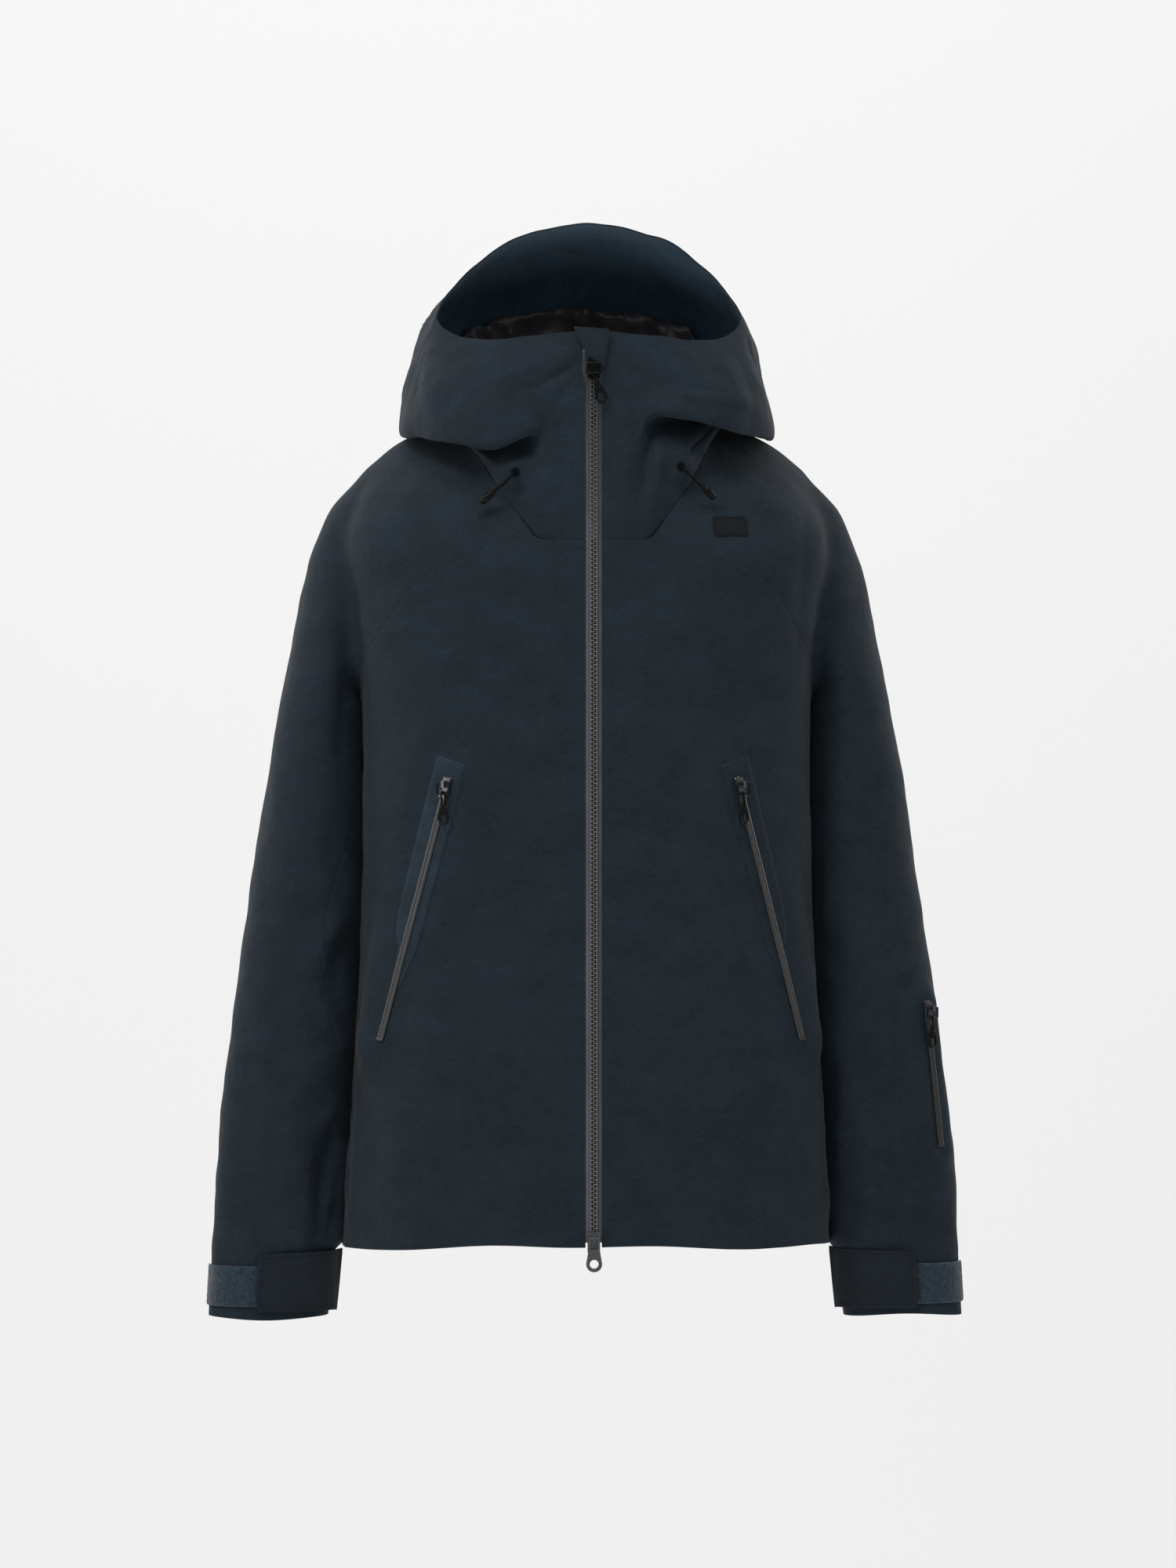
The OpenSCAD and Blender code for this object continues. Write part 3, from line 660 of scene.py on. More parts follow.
def make_hood_cords():
    for side, route in CORD_ROUTES.items():
        route = np.array(route, float)
        path = spline(route, np.linspace(0, len(route) - 1, 49))
        data = bpy.data.curves.new(f"hood_cord_look_{side}", "CURVE")
        data.dimensions = "3D"
        data.bevel_depth = CORD_D / 2 * MM
        data.bevel_resolution = 4
        data.use_fill_caps = True
        line = data.splines.new("POLY")
        line.points.add(len(path) - 1)
        for point, place in zip(line.points, world(path)):
            point.co = (*place, 1)
        cord = bpy.data.objects.new(f"hood_cord_look_{side}", data)
        bpy.context.scene.collection.objects.link(cord)
        finish_piece(cord, CORD, "root", [f"hood_cord_{side}"])

        end = route[-1]
        d = (route[-1] - route[-2]) / np.linalg.norm(route[-1] - route[-2])
        stations = [(-0.6, 1.5), (-0.4, 1.9), (0.5, 2.3), (2.6, 2.7), (2.8, 2.4), (3.4, 2.4), (3.6, 2.75),
                    (8.5, 3.0), (12.2, 2.9), (13.6, 2.4), (TIP_LENGTH, 1.4)]
        tip_line, tip_radii = [end + d * s for s, _ in stations], [r for _, r in stations]
        tip = tube(f"hood_cord_tip_look_{side}", tip_line, tip_radii, 20)
        finish_piece(tip, MOULDED, "root", [f"hood_cord_tip_{side}"])


make_hood_cords()

# ---------------------------------------------------------------- skin of body and sleeves

RAGLAN_FRONT = [(50, -113), (83, -122), (116, -136), (140, -147), (154, -162), (175, -193), (190, -222)]
RAGLAN_BACK = [(55, 4), (90, -30), (125, -85), (150, -140), (172, -190), (190, -222)]
UNDERARM = [(192, -260), (193, -410), (199, -535), (203.5, -594), (209, -712), (212, -900)]
VOXEL = 4.0
OVERLAP = 3.0
BELOW_HEM = 0.95


def smoothstep(x, a, b):
    t = np.clip((x - a) / (b - a), 0, 1)
    return t * t * (3 - 2 * t)


def signed_line(p, path):
    """Distance of 2-D points from a path, positive on its right-hand side as it runs."""
    path = np.asarray(path, float)
    best = np.full(len(p), 1e9)
    sign = np.ones(len(p))
    for a, b in zip(path, path[1:]):
        d = b - a
        t = np.clip(((p - a) @ d) / (d @ d), 0, 1)
        gap = p - (a + t[:, None] * d)
        dist = np.linalg.norm(gap, axis=1)
        cross = d[0] * (p[:, 1] - a[1]) - d[1] * (p[:, 0] - a[0])
        closer = dist < best - 1e-6
        best[closer] = dist[closer]
        sign[closer] = np.where(cross[closer] > 0, -1, 1)
    return best * sign


def sleeve_field(p):
    """Positive on the trunk, negative on the raglan sleeves, zero on the seams between them."""
    xz = np.stack([np.abs(p[:, 0]), p[:, 2]], -1)
    front = signed_line(xz, [(20, -108)] + RAGLAN_FRONT + UNDERARM)
    back = signed_line(xz, [(30, 25)] + RAGLAN_BACK + UNDERARM)
    w = smoothstep(p[:, 1], -30, 30)
    return front * (1 - w) + back * w


# The seam has a corner beside the throat, where it turns up to the shoulder
NECK_SEAM = np.concatenate([[(0, -128, -117), (24, -128, -117), (40, -126.5, -117), (48, -124.5, -115.5),
                             (53, -122.5, -108), (62, -118, -95)], NECK[2:]])
NECK_ROUND = mirrored_rows(NECK_SEAM)
NECK_LOOP = np.concatenate([
    np.linspace(a, b, 12, endpoint=False) for a, b in zip(NECK_ROUND, np.roll(NECK_ROUND, -1, 0))])
NECK_MIDDLE = np.array([0, -15.0])


def neck_field(p):
    """Height above the neck seam, by direction from the neck's middle."""
    loop = np.arctan2(NECK_LOOP[:, 1] - NECK_MIDDLE[1], NECK_LOOP[:, 0])
    order = np.argsort(loop)
    turn = np.arctan2(p[:, 1] - NECK_MIDDLE[1], p[:, 0])
    level = np.interp(turn, loop[order], NECK_LOOP[order, 2], period=2 * np.pi)
    radius = np.linalg.norm(NECK_LOOP[order, :2] - NECK_MIDDLE, axis=1)
    reach = np.interp(turn, loop[order], radius, period=2 * np.pi)
    far = np.linalg.norm(p[:, :2] - NECK_MIDDLE, axis=1) - reach
    return p[:, 2] - level - np.maximum(far - 4, 0) * 3


def rest_skin():
    """One smooth skin over the trunk and both sleeves, as points and triangles."""
    turn = np.arange(0, 4, 1 / 32)
    rings = []
    for z in np.arange(-744, BUST_Z, 12):
        # drawn in below the hem, so that the remesh doesn't weld the trunk to the cuffs
        narrow = BELOW_HEM if z < -714 else 1
        rings.append(body_ring(turn, np.full(turn.shape, z)) * (narrow, 1, 1))
    rings += [bust(turn, t) for t in np.linspace(0, 1, 16)]
    rings += [rings[-1] + (0, 0, 12 * k) for k in (1, 2, 3)]
    trunk = mesh_object("trunk", *closed_solid(rings))
    arms = []
    for sign in (-1, 1):
        arm = closed_solid([sleeve(turn, np.full(turn.shape, z)) for z in [-796, *range(-780, -50, 12), -50]])
        points = arm[0] * (sign, 1, 1)
        faces = arm[1] if sign > 0 else [f[::-1] for f in arm[1]]
        arms.append(mesh_object("arm", points, faces))
    joined("trunk", [trunk, *arms])
    voxel_remesh(trunk, VOXEL)
    points = read_points(trunk.data)
    quads = [tuple(f.vertices) for f in trunk.data.polygons]
    bpy.data.objects.remove(trunk)
    points = smoothed(points, quads, 8)
    return points, quads


def close_armpit_gap(p):
    """Stretches each sleeve inwards until it touches the trunk below the armpit."""
    x = np.abs(p[:, 0])
    on_sleeve = (sleeve_field(p) < 0) & (p[:, 2] < -222)
    inner, outer = sleeve_in(p[:, 2]), sleeve_out(p[:, 2])
    gap = (inner - body_half(p[:, 2]) + OVERLAP) * smoothstep(-p[:, 2], 222, 256)
    gap *= 1 - smoothstep(-p[:, 2], 692, 714)
    share = np.clip((outer - x) / (outer - inner), 0, 1)
    moved = np.where(on_sleeve, x - gap * share, x)
    return np.stack([np.sign(p[:, 0]) * moved, p[:, 1], p[:, 2]], -1)


# Folds: (side, face, path across the front or back as x and z, width, height).
# side: -1 is the wearer's right, 1 the left and 0 both. face: -1 front, 1 back, 0 either.
FOLDS = [
    # creases where the sleeves hang from the shoulders
    (-1, -1, [(-211, -77), (-206, -120), (-198, -170), (-193, -217)], 9, -4.0),
    (-1, -1, [(-226, -90), (-222, -150), (-214, -210), (-216, -270)], 16, 3.0),
    (-1, -1, [(-203, -150), (-199, -215), (-203, -290), (-200, -340)], 9, -5.5),
    (1, -1, [(180, -67), (178, -110), (175, -170), (172, -238)], 7, -4.2),
    (1, -1, [(196, -90), (204, -150), (222, -215), (240, -300)], 18, 3.2),
    (1, -1, [(192, -170), (194, -240), (203, -300)], 10, -3.5),
    # soft hollows and rises of the chest
    (-1, -1, [(-97, -60), (-90, -95), (-72, -125)], 16, -2.2),
    (-1, -1, [(-140, -95), (-128, -140), (-96, -190)], 26, 2.0),
    (-1, -1, [(-160, -190), (-140, -230), (-132, -280)], 22, -1.4),
    (1, -1, [(88, -75), (72, -108), (64, -150)], 14, -2.2),
    (1, -1, [(128, -100), (118, -150), (92, -205)], 26, 1.8),
    (1, -1, [(160, -200), (146, -240), (140, -290)], 20, -1.5),
    (0, -1, [(-40, -130), (-36, -240), (-42, -360)], 30, 1.2),
    (1, -1, [(40, -150), (46, -260), (40, -380)], 30, 1.0),
    # pulls below the hand pockets and folds into the hem
    (-1, -1, [(-172, -540), (-140, -560), (-100, -575)], 12, -1.8),
    (-1, -1, [(-199, -570), (-184, -590), (-176, -612), (-188, -650)], 8, -4.2),
    (-1, -1, [(-203, -592), (-192, -625), (-196, -672), (-205, -690)], 7, 3.4),
    (-1, -1, [(-176, -594), (-164, -640), (-168, -688)], 14, 2.2),
    (1, -1, [(130, -534), (157, -549), (184, -553)], 10, -2.2),
    (1, -1, [(120, -520), (150, -533), (182, -530)], 12, 1.8),
    (1, -1, [(190, -585), (176, -620), (182, -684)], 10, 2.6),
    (1, -1, [(160, -600), (150, -650), (160, -690)], 13, -1.8),
    (-1, -1, [(-60, -600), (-70, -650), (-62, -692)], 20, 1.6),
    (1, -1, [(40, -610), (32, -660), (26, -692)], 12, -1.6),
    (-1, -1, [(-120, -620), (-112, -660), (-118, -690)], 14, -1.4),
    # wearer's right sleeve
    (-1, -1, [(-187, -424), (-205, -428), (-219, -448), (-223, -480)], 8, 4.6),
    (-1, -1, [(-195, -440), (-208, -460), (-208, -500)], 11, -6.0),
    (-1, -1, [(-223, -480), (-214, -512), (-201, -530), (-205, -556)], 8, 4.2),
    (-1, -1, [(-208, -345), (-212, -380), (-200, -410)], 12, -4.0),
    (-1, -1, [(-202, -575), (-216, -598), (-228, -614)], 8, 4.6),
    (-1, -1, [(-224, -612), (-223, -660), (-226, -714)], 6, -7.0),
    (-1, -1, [(-213, -590), (-213, -650), (-216, -712)], 9, -11.0),
    (-1, -1, [(-208, -620), (-215, -665), (-221, -710)], 3.5, 7.0),
    (-1, -1, [(-238, -560), (-244, -620), (-240, -690)], 15, 3.4),
    (-1, -1, [(-234, -620), (-231, -665), (-236, -712)], 6, 3.5),
    (-1, -1, [(-262, -380), (-258, -450), (-266, -530)], 20, 2.0),
    (-1, -1, [(-284, -500), (-280, -560), (-288, -640)], 13, -2.4),
    # wearer's left sleeve
    (1, -1, [(182, -416), (196, -421), (210, -408)], 7, 4.6),
    (1, -1, [(184, -440), (197, -448), (206, -470)], 8, -5.0),
    (1, -1, [(186, -500), (198, -512), (206, -535), (200, -562)], 9, 4.6),
    (1, -1, [(195, -530), (204, -560), (197, -610), (202, -670)], 8, -6.0),
    (1, -1, [(208, -515), (212, -580), (207, -640), (209, -700)], 9, 4.6),
    (1, -1, [(226, -330), (222, -400), (232, -470)], 16, -2.6),
    (1, -1, [(252, -360), (250, -440), (262, -520)], 18, 2.0),
    (1, -1, [(232, -590), (238, -650), (234, -712)], 12, 2.8),
    (1, -1, [(268, -600), (262, -650), (268, -712)], 11, -2.2),
    # back and the backs of the sleeves
    (0, 1, [(-60, -20), (-110, -70), (-150, -150)], 26, 2.4),
    (0, 1, [(-165, -190), (-130, -240), (-60, -262)], 18, -2.8),
    (0, 1, [(-168, -220), (-140, -290), (-120, -380)], 22, 2.6),
    (0, 1, [(-30, -140), (-26, -300), (-36, -420)], 30, 1.8),
    (-1, 1, [(-150, -420), (-70, -455), (40, -448)], 20, -2.4),
    (1, 1, [(150, -470), (80, -500), (-30, -505)], 18, 2.2),
    (0, 1, [(-186, -560), (-160, -600), (-164, -690)], 12, -3.2),
    (0, 1, [(-90, -600), (-84, -650), (-92, -704)], 16, 2.0),
    (0, 1, [(-200, -250), (-222, -330), (-232, -420)], 14, -4.0),
    (0, 1, [(-212, -430), (-240, -448), (-268, -440)], 10, 4.0),
    (0, 1, [(-210, -470), (-238, -492), (-270, -488)], 11, -4.2),
    (0, 1, [(-214, -520), (-236, -538), (-262, -540)], 10, 3.2),
    (0, 1, [(-240, -600), (-246, -660), (-242, -720)], 12, -3.4),
]


FOLD_POW = 1.5


def folded(p, normals):
    """Height of the folds at each point, along its normal."""
    height = np.zeros(len(p))
    facing = np.sign(normals[:, 1])
    xz = p[:, [0, 2]]
    for side, face, path, width, size in FOLDS:
        for sign in ((side,) if side else (-1, 1)):
            line = np.array(path, float)
            if side == 0:
                line = np.abs(line) * (sign, -1) if np.all(line[:, 1] <= 0) else line * (sign, 1)
            near = (xz[:, 0] > line[:, 0].min() - 3 * width) & (xz[:, 0] < line[:, 0].max() + 3 * width)
            near &= (xz[:, 1] > line[:, 1].min() - 3 * width) & (xz[:, 1] < line[:, 1].max() + 3 * width)
            if face:
                near &= facing == face
            if not near.any():
                continue
            dist, along = line_distance(xz[near], line)
            ends = np.sin(np.pi * np.clip(along, 0.02, 0.98)) ** 0.8
            height[near] += size * ends * np.exp(-(dist / width) ** FOLD_POW) * np.abs(normals[near, 1])
    return height


HAND_TOP, HAND_LOW, HAND_TURN = np.array([120, -122, -317.0]), np.array([175, -92, -528.0]), 30
ARM_TOP, ARM_LOW, ARM_TURN = np.array([284, -44.5, -504.0]), np.array([296, -44, -620.0]), 39
ZIPS = [(HAND_TOP * (s, 1, 1), HAND_LOW * (s, 1, 1), HAND_TURN * s) for s in (1, -1)]
ZIPS.append((ARM_TOP, ARM_LOW, ARM_TURN))


def zip_frame(top, low, turn):
    """Unit vectors of a pocket zip: across it, along it downwards and out of its face."""
    a = math.radians(turn)
    out = np.array([math.sin(a), -math.cos(a), 0.0])
    down = (low - top) / np.linalg.norm(low - top)
    out = out - down * (out @ down)
    out /= np.linalg.norm(out)
    return np.cross(down, out), down, out


def flat_at_zips(moved):
    """Brings the skin up behind each pocket zip, so that its tape lies on it."""
    for (top, low, turn), reach in zip(ZIPS, (46, 46, 26)):
        across, down, out = zip_frame(top, low, turn)
        rel = moved - top
        length = np.linalg.norm(low - top)
        s = np.clip(rel @ down, -2, length + 2)
        gap = rel - s[:, None] * down
        side = np.hypot(gap @ across, gap @ down)
        height = gap @ out
        w = (1 - smoothstep(side, 8, reach)) * (np.abs(height) < 30)
        moved = moved + (w * (-1.9 - height))[:, None] * out
    return moved


def crumpled(p, scale, seed):
    """Sharp valleys between soft rises, like cloth that has been pressed together."""
    return 0.4 - np.abs(noise_at(p, scale, seed))


def shaped_skin():
    """The skin's points before and after its folds, and its faces."""
    p, quads = rest_skin()
    quads = [q if len(q) == 4 else (*q, q[-1]) for q in quads]
    rest = p
    p = close_armpit_gap(p)
    n = normals_of(p, quads)
    quiet = smoothstep(np.abs(p[:, 0]) + 1e3 * (p[:, 1] > -90), 9, 40)
    height = folded(p, n) * quiet
    height += quiet * (1.3 * noise_at(p, 75, 3.1) + 0.7 * noise_at(p * (1, 1, 1.6), 32, 9.4))
    on_arm = smoothstep(np.abs(p[:, 0]), 190, 204)
    rough = 0.45 + on_arm * (0.35 + 0.9 * smoothstep(-p[:, 2], 330, 480))
    rough += 0.5 * smoothstep(-p[:, 2], 560, 640)
    rough *= 1 - 0.8 * smoothstep(np.abs(p[:, 0]) - sleeve_out(p[:, 2]), -34, -10)
    height += quiet * rough * (1.5 * crumpled(p, 58, 21.0) + 0.8 * crumpled(p * (1, 1, 1.3), 27, 5.0))
    height *= 1 - 0.9 * smoothstep(-p[:, 2], 702, 716) * on_arm
    moved = p + n * height[:, None]
    moved = smoothed(moved, quads, 2, 0.4)
    moved = flat_at_zips(moved)
    return rest, moved, quads


# ---------------------------------------------------------------- panels cut from the skin

CLOTH = 1.2
BAND_CLOTH = 2.2
SLEEVE_CLOTH = 1.6
SEAM_SINK = 0.25
RIM_ANGLE = 55
BAND_Z = -587.0
CUFF_Z = -762.0


class Sheet:
    """Triangles whose points hold a shaped place and, for the cuts, the place at rest."""

    def __init__(self, moved, rest, faces):
        used, index = np.unique(faces, return_inverse=True)
        self.moved, self.rest = moved[used], rest[used]
        self.faces = index.reshape(faces.shape)

    def split(self, field):
        """(the part where field is positive, the part where it is negative)"""
        value = field(self.rest)
        value = np.where(np.abs(value) < 1e-4, 1e-4, value)
        up = value > 0
        count = up[self.faces].sum(1)
        whole = self.faces[(count == 0) | (count == 3)]
        cut = self.faces[(count == 1) | (count == 2)]
        lone = up[cut].sum(1) == 1
        k = np.where(lone[:, None], up[cut], ~up[cut]).argmax(1)
        row = np.arange(len(cut))
        a, b, c = cut[row, k], cut[row, (k + 1) % 3], cut[row, (k + 2) % 3]
        edges = np.sort(np.concatenate([np.stack([a, b], 1), np.stack([a, c], 1)]), 1)
        edges, index = np.unique(edges, axis=0, return_inverse=True)
        index = index.ravel()
        i, j = edges[:, 0], edges[:, 1]
        t = (value[i] / (value[i] - value[j]))[:, None]
        moved = np.concatenate([self.moved, self.moved[i] + t * (self.moved[j] - self.moved[i])])
        rest = np.concatenate([self.rest, self.rest[i] + t * (self.rest[j] - self.rest[i])])
        ab, ac = len(value) + index[:len(cut)], len(value) + index[len(cut):]
        near = np.stack([a, ab, ac], 1)
        far = np.concatenate([np.stack([ab, b, c], 1), np.stack([ab, c, ac], 1)])
        far_up = np.concatenate([~lone, ~lone])
        whole_up = up[whole[:, 0]]
        plus = np.concatenate([whole[whole_up], near[lone], far[far_up]])
        minus = np.concatenate([whole[~whole_up], near[~lone], far[~far_up]])
        return Sheet(moved, rest, plus), Sheet(moved, rest, minus)

    def keep(self, field):
        return self.split(field)[0]

    def edge_points(self):
        """Indices of the points on the sheet's edges."""
        e = np.sort(np.concatenate([self.faces[:, [0, 1]], self.faces[:, [1, 2]], self.faces[:, [2, 0]]]), 1)
        e, count = np.unique(e, axis=0, return_counts=True)
        return np.unique(e[count == 1])

    def largest(self, share=0.05):
        """Without loose scraps smaller than that share of the points."""
        from_point = np.arange(len(self.rest))
        while True:
            low = from_point[self.faces].min(1)
            new = from_point.copy()
            for k in range(3):
                np.minimum.at(new, self.faces[:, k], low)
            if (new == from_point).all():
                break
            from_point = new
        label, count = np.unique(from_point, return_counts=True)
        good = np.isin(from_point, label[count > share * len(from_point)])
        return Sheet(self.moved, self.rest, self.faces[good[self.faces[:, 0]]])


def sheet_object(name, sheet, sink=SEAM_SINK, sink_where=None, thick=CLOTH, inner=None):
    """A panel: its seams drawn in a little, and turned into cloth of a real thickness."""
    points = sheet.moved.copy()
    n = normals_of(points, [tuple(f) for f in sheet.faces])
    edge = sheet.edge_points()
    if sink_where is not None:
        edge = edge[sink_where(sheet.rest[edge])]
    points[edge] -= sink * n[edge]
    obj = mesh_object(name, points, sheet.faces)
    obj.data.materials.append(SHELL)
    # by default the inner face gets the hood's cloth with painted light
    obj.data.materials.append(inner or INNER_PAINTED_LIGHT)
    m = obj.modifiers.new("thickness", "SOLIDIFY")
    m.thickness = thick * MM
    m.offset = -1
    m.material_offset = 1
    apply_modifiers(obj)
    obj.data.set_sharp_from_angle(angle=math.radians(RIM_ANGLE))
    return obj


def two_sided_piece(obj, nodes):
    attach(obj, "root")
    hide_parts(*nodes)
    return obj


def hem_field(p):
    wave = 2.2 * np.sin(p[:, 0] / 31.0 + 0.8) * np.sin(p[:, 0] / 83.0)
    return p[:, 2] - hem_z(p[:, 1]) - wave


ELBOW_SEAM = [(-180, -290), (-199, -325), (-214, -382), (-227, -423),
              (-230, -463), (-229, -499), (-220, -533), (-180, -580)]


def elbow_field(p):
    """Negative on the elbow piece, which lies inside the seam at the front of a sleeve."""
    return np.maximum(signed_line(p[:, [0, 2]], ELBOW_SEAM), p[:, 1] - 4)


def make_panels():
    rest, moved, quads = shaped_skin()
    tris = np.array([t for q in quads for t in ((q[0], q[1], q[2]), (q[0], q[2], q[3])) if len(set(t)) == 3])
    skin = Sheet(moved, rest, tris).keep(lambda p: -neck_field(p))
    trunk, arms = skin.split(sleeve_field)
    trunk = trunk.keep(hem_field).largest(0.01)
    upper, band = trunk.split(lambda p: p[:, 2] - BAND_Z)
    arms = arms.keep(lambda p: p[:, 2] - CUFF_Z - 1.5 * np.sin(p[:, 0] / 19.0)).largest(0.01)
    off_zip = lambda p: ~((np.abs(p[:, 0]) < TAPE_HALF + 1) & (p[:, 1] < 0)) & (p[:, 2] > -690)
    for name, rows, thick in (("front_body", upper, CLOTH), ("hem_band", band, BAND_CLOTH)):
        back, front = rows.split(lambda p: p[:, 1])
        for side, sign in SIDES.items():
            half = front.keep(lambda p: sign * p[:, 0] - TAPE_HALF).largest()
            obj = sheet_object(f"{name}_look_{side}", half, sink_where=off_zip, thick=thick, inner=BACKING)
            two_sided_piece(obj, [f"{name}_{side}"])
        other = "back_body" if name == "front_body" else "hem_band_back"
        obj = sheet_object(f"{other}_look", back.largest(), sink_where=off_zip, thick=thick, inner=BACKING)
        two_sided_piece(obj, [other])
    cuff_edge = lambda p: p[:, 2] > CUFF_Z + 8
    for side, sign in SIDES.items():
        arm = arms.keep(lambda p: sign * p[:, 0]).largest()
        name = f"raglan_sleeve_{side}"
        if side == "right":
            main, elbow = arm.split(elbow_field)
            pieces = [(name, main), (f"{name}_elbow", elbow.largest())]
        else:
            pieces = [(name, arm)]
        parts = [sheet_object(*piece, sink_where=cuff_edge, thick=SLEEVE_CLOTH, inner=BACKING)
                 for piece in pieces]
        obj = joined(name, parts) if len(parts) > 1 else parts[0]
        two_sided_piece(obj, [f"shoulder_{side}", f"sleeve_{side}"])


# ---------------------------------------------------------------- hood and throat

# Columns of the hood from the front centre (q 0) to the back centre (q 2). Each has eight
# rows: neck seam, tuck under the roll, roll's lowest edge, roll, and four more to the edge.
HOOD_Q = [0, 0.25, 0.36, 0.5, 0.75, 1, 1.25, 1.5, 1.75, 2]
HOOD = [
    [(0, -128, -117), (0, -128, -88), (0, -128, -60), (0, -128, -32), (0, -128, -8), (0, -127.6, 14),
     (0, -127, 33), (0, -124, 54)],
    [(38, -126, -117), (38, -127.5, -88), (38, -127.5, -60), (37, -127, -32), (39, -127, -8),
     (42, -125.5, 14), (43, -123.5, 32), (42, -119, 51)],
    [(55, -121, -104), (54, -125, -68), (53, -112, -35), (50, -131, -29), (56, -132, -12), (60, -126, 12),
     (60, -122, 31), (58, -115, 50)],
    [(76, -110, -75), (77, -118, -57), (79, -97, -35), (82, -131, -45), (88, -134, -22), (90, -125, 6),
     (89, -116, 28), (82, -107, 48)],
    [(92, -85, -45), (104, -86, -34), (110, -76, -20), (121, -111, -37), (129, -110, -22), (130, -103, 6),
     (125, -92, 30), (111, -83, 53)],
    [(99, -15, -10), (116, -22, -11), (132, -32, -14), (149, -42, -29), (154, -45, -22), (148, -46, 10),
     (140, -49, 38), (126, -55, 70)],
    [(92, 35, -3), (110, 38, -3), (128, 43, -10), (149, 47, -22), (154, 49, -8), (149, 47, 22),
     (138, 26, 66), (114, -47, 95)],
    [(72, 68, 0), (88, 80, 2), (102, 92, -2), (117, 103, -13), (123, 106, 0), (123, 106, 32),
     (112, 70, 90), (90, -48, 118)],
    [(40, 88, 1), (48, 104, 3), (56, 118, 0), (62, 132, -10), (66, 136, 2), (67, 137, 38),
     (62, 98, 112), (55, -55, 139)],
    [(0, 95, 2), (0, 113, 4), (0, 128, 1), (0, 140, -9), (0, 145, 4), (0, 148, 38),
     (0, 110, 122), (0, -62, 149)],
]
# What differs on the wearer's left: column, row, place
LEFT_CHANGES = [
    (1, 3, (35, -127, -28)), (1, 4, (37, -127, -6)),
    (2, 1, (54, -125, -56)), (2, 2, (50, -111, -22)), (2, 3, (47, -131, -16)), (2, 4, (55, -132, 2)),
    (3, 1, (77, -119, -44)), (3, 2, (77, -94, -13)), (3, 3, (78, -132, -20)), (3, 4, (86, -134, -3)),
    (4, 1, (104, -84, -25)), (4, 2, (109, -73, -8)), (4, 3, (116, -113, -27)), (4, 4, (127, -111, -10)),
]
CENTRE_START = 1.78
HOOD_COLUMNS, HOOD_ROWS = 400, 112


def hood_rows(side):
    net = np.array(HOOD, float)
    if side > 0:
        for column, row, place in LEFT_CHANGES:
            net[column, row] = place
    return net * (side, 1, 1)


def hood_grid(columns, rows):
    """The hood's surface at columns (q, 0 to 4 from the wearer's left front) and rows (0 to 7)."""
    left, right = hood_rows(1), hood_rows(-1)
    net = np.concatenate([right[1:2], left, right[-2::-1], left[1:2]])
    q = np.array([-HOOD_Q[1], *HOOD_Q, *[4 - v for v in HOOD_Q[-2::-1]], 4 + HOOD_Q[1]])
    place = np.interp(columns, q, np.arange(len(q)))
    across = spline(net, place)
    return spline(np.swapaxes(across, 0, 1), rows)


HOOD_FOLDS = [
    # (path across the front as x and z, width, height)
    ([(-5, 34), (-23, 20), (-46, 8), (-70, 2)], 5, -3.0),
    ([(-10, 20), (-24, 4), (-33, -14)], 5, -2.0),
    ([(-8, 44), (-32, 29), (-66, 20), (-96, 2)], 12, 2.6),
    ([(14, 38), (30, 24), (51, 8), (78, -4), (104, -12)], 5, -3.0),
    ([(22, 48), (56, 24), (92, 10), (122, -2)], 11, 2.6),
    ([(20, 10), (34, -8), (40, -30)], 7, -1.6),
    ([(-124, 18), (-112, 4), (-126, -16)], 8, -2.4),
    ([(-112, 30), (-104, 10), (-110, -12)], 9, 1.8),
    ([(118, 44), (126, 26), (134, 0)], 6, -2.0),
    ([(104, 30), (118, 12), (128, -12)], 8, 2.0),
    ([(-52, -28), (-50, -60), (-44, -100)], 8, 2.6),
    ([(-64, -50), (-62, -76), (-54, -104)], 7, -2.4),
    ([(-26, 0), (-24, -50), (-26, -110)], 10, -1.3),
    ([(24, 20), (27, -40), (24, -110)], 8, 1.5),
    ([(40, -10), (42, -50), (38, -104)], 7, -2.2),
    ([(50, -16), (54, -50), (50, -96)], 8, 2.4),
    ([(102, -20), (86, -40), (80, -68)], 5, -6.0),
    ([(108, -30), (94, -48), (88, -72)], 7, 2.6),
    ([(62, -30), (66, -60), (60, -88)], 8, -1.8),
]


THROAT_INSIDE_Z = 0.0
EYELETS = [(-64, -124.2, -62), (72, -122.0, -57)]


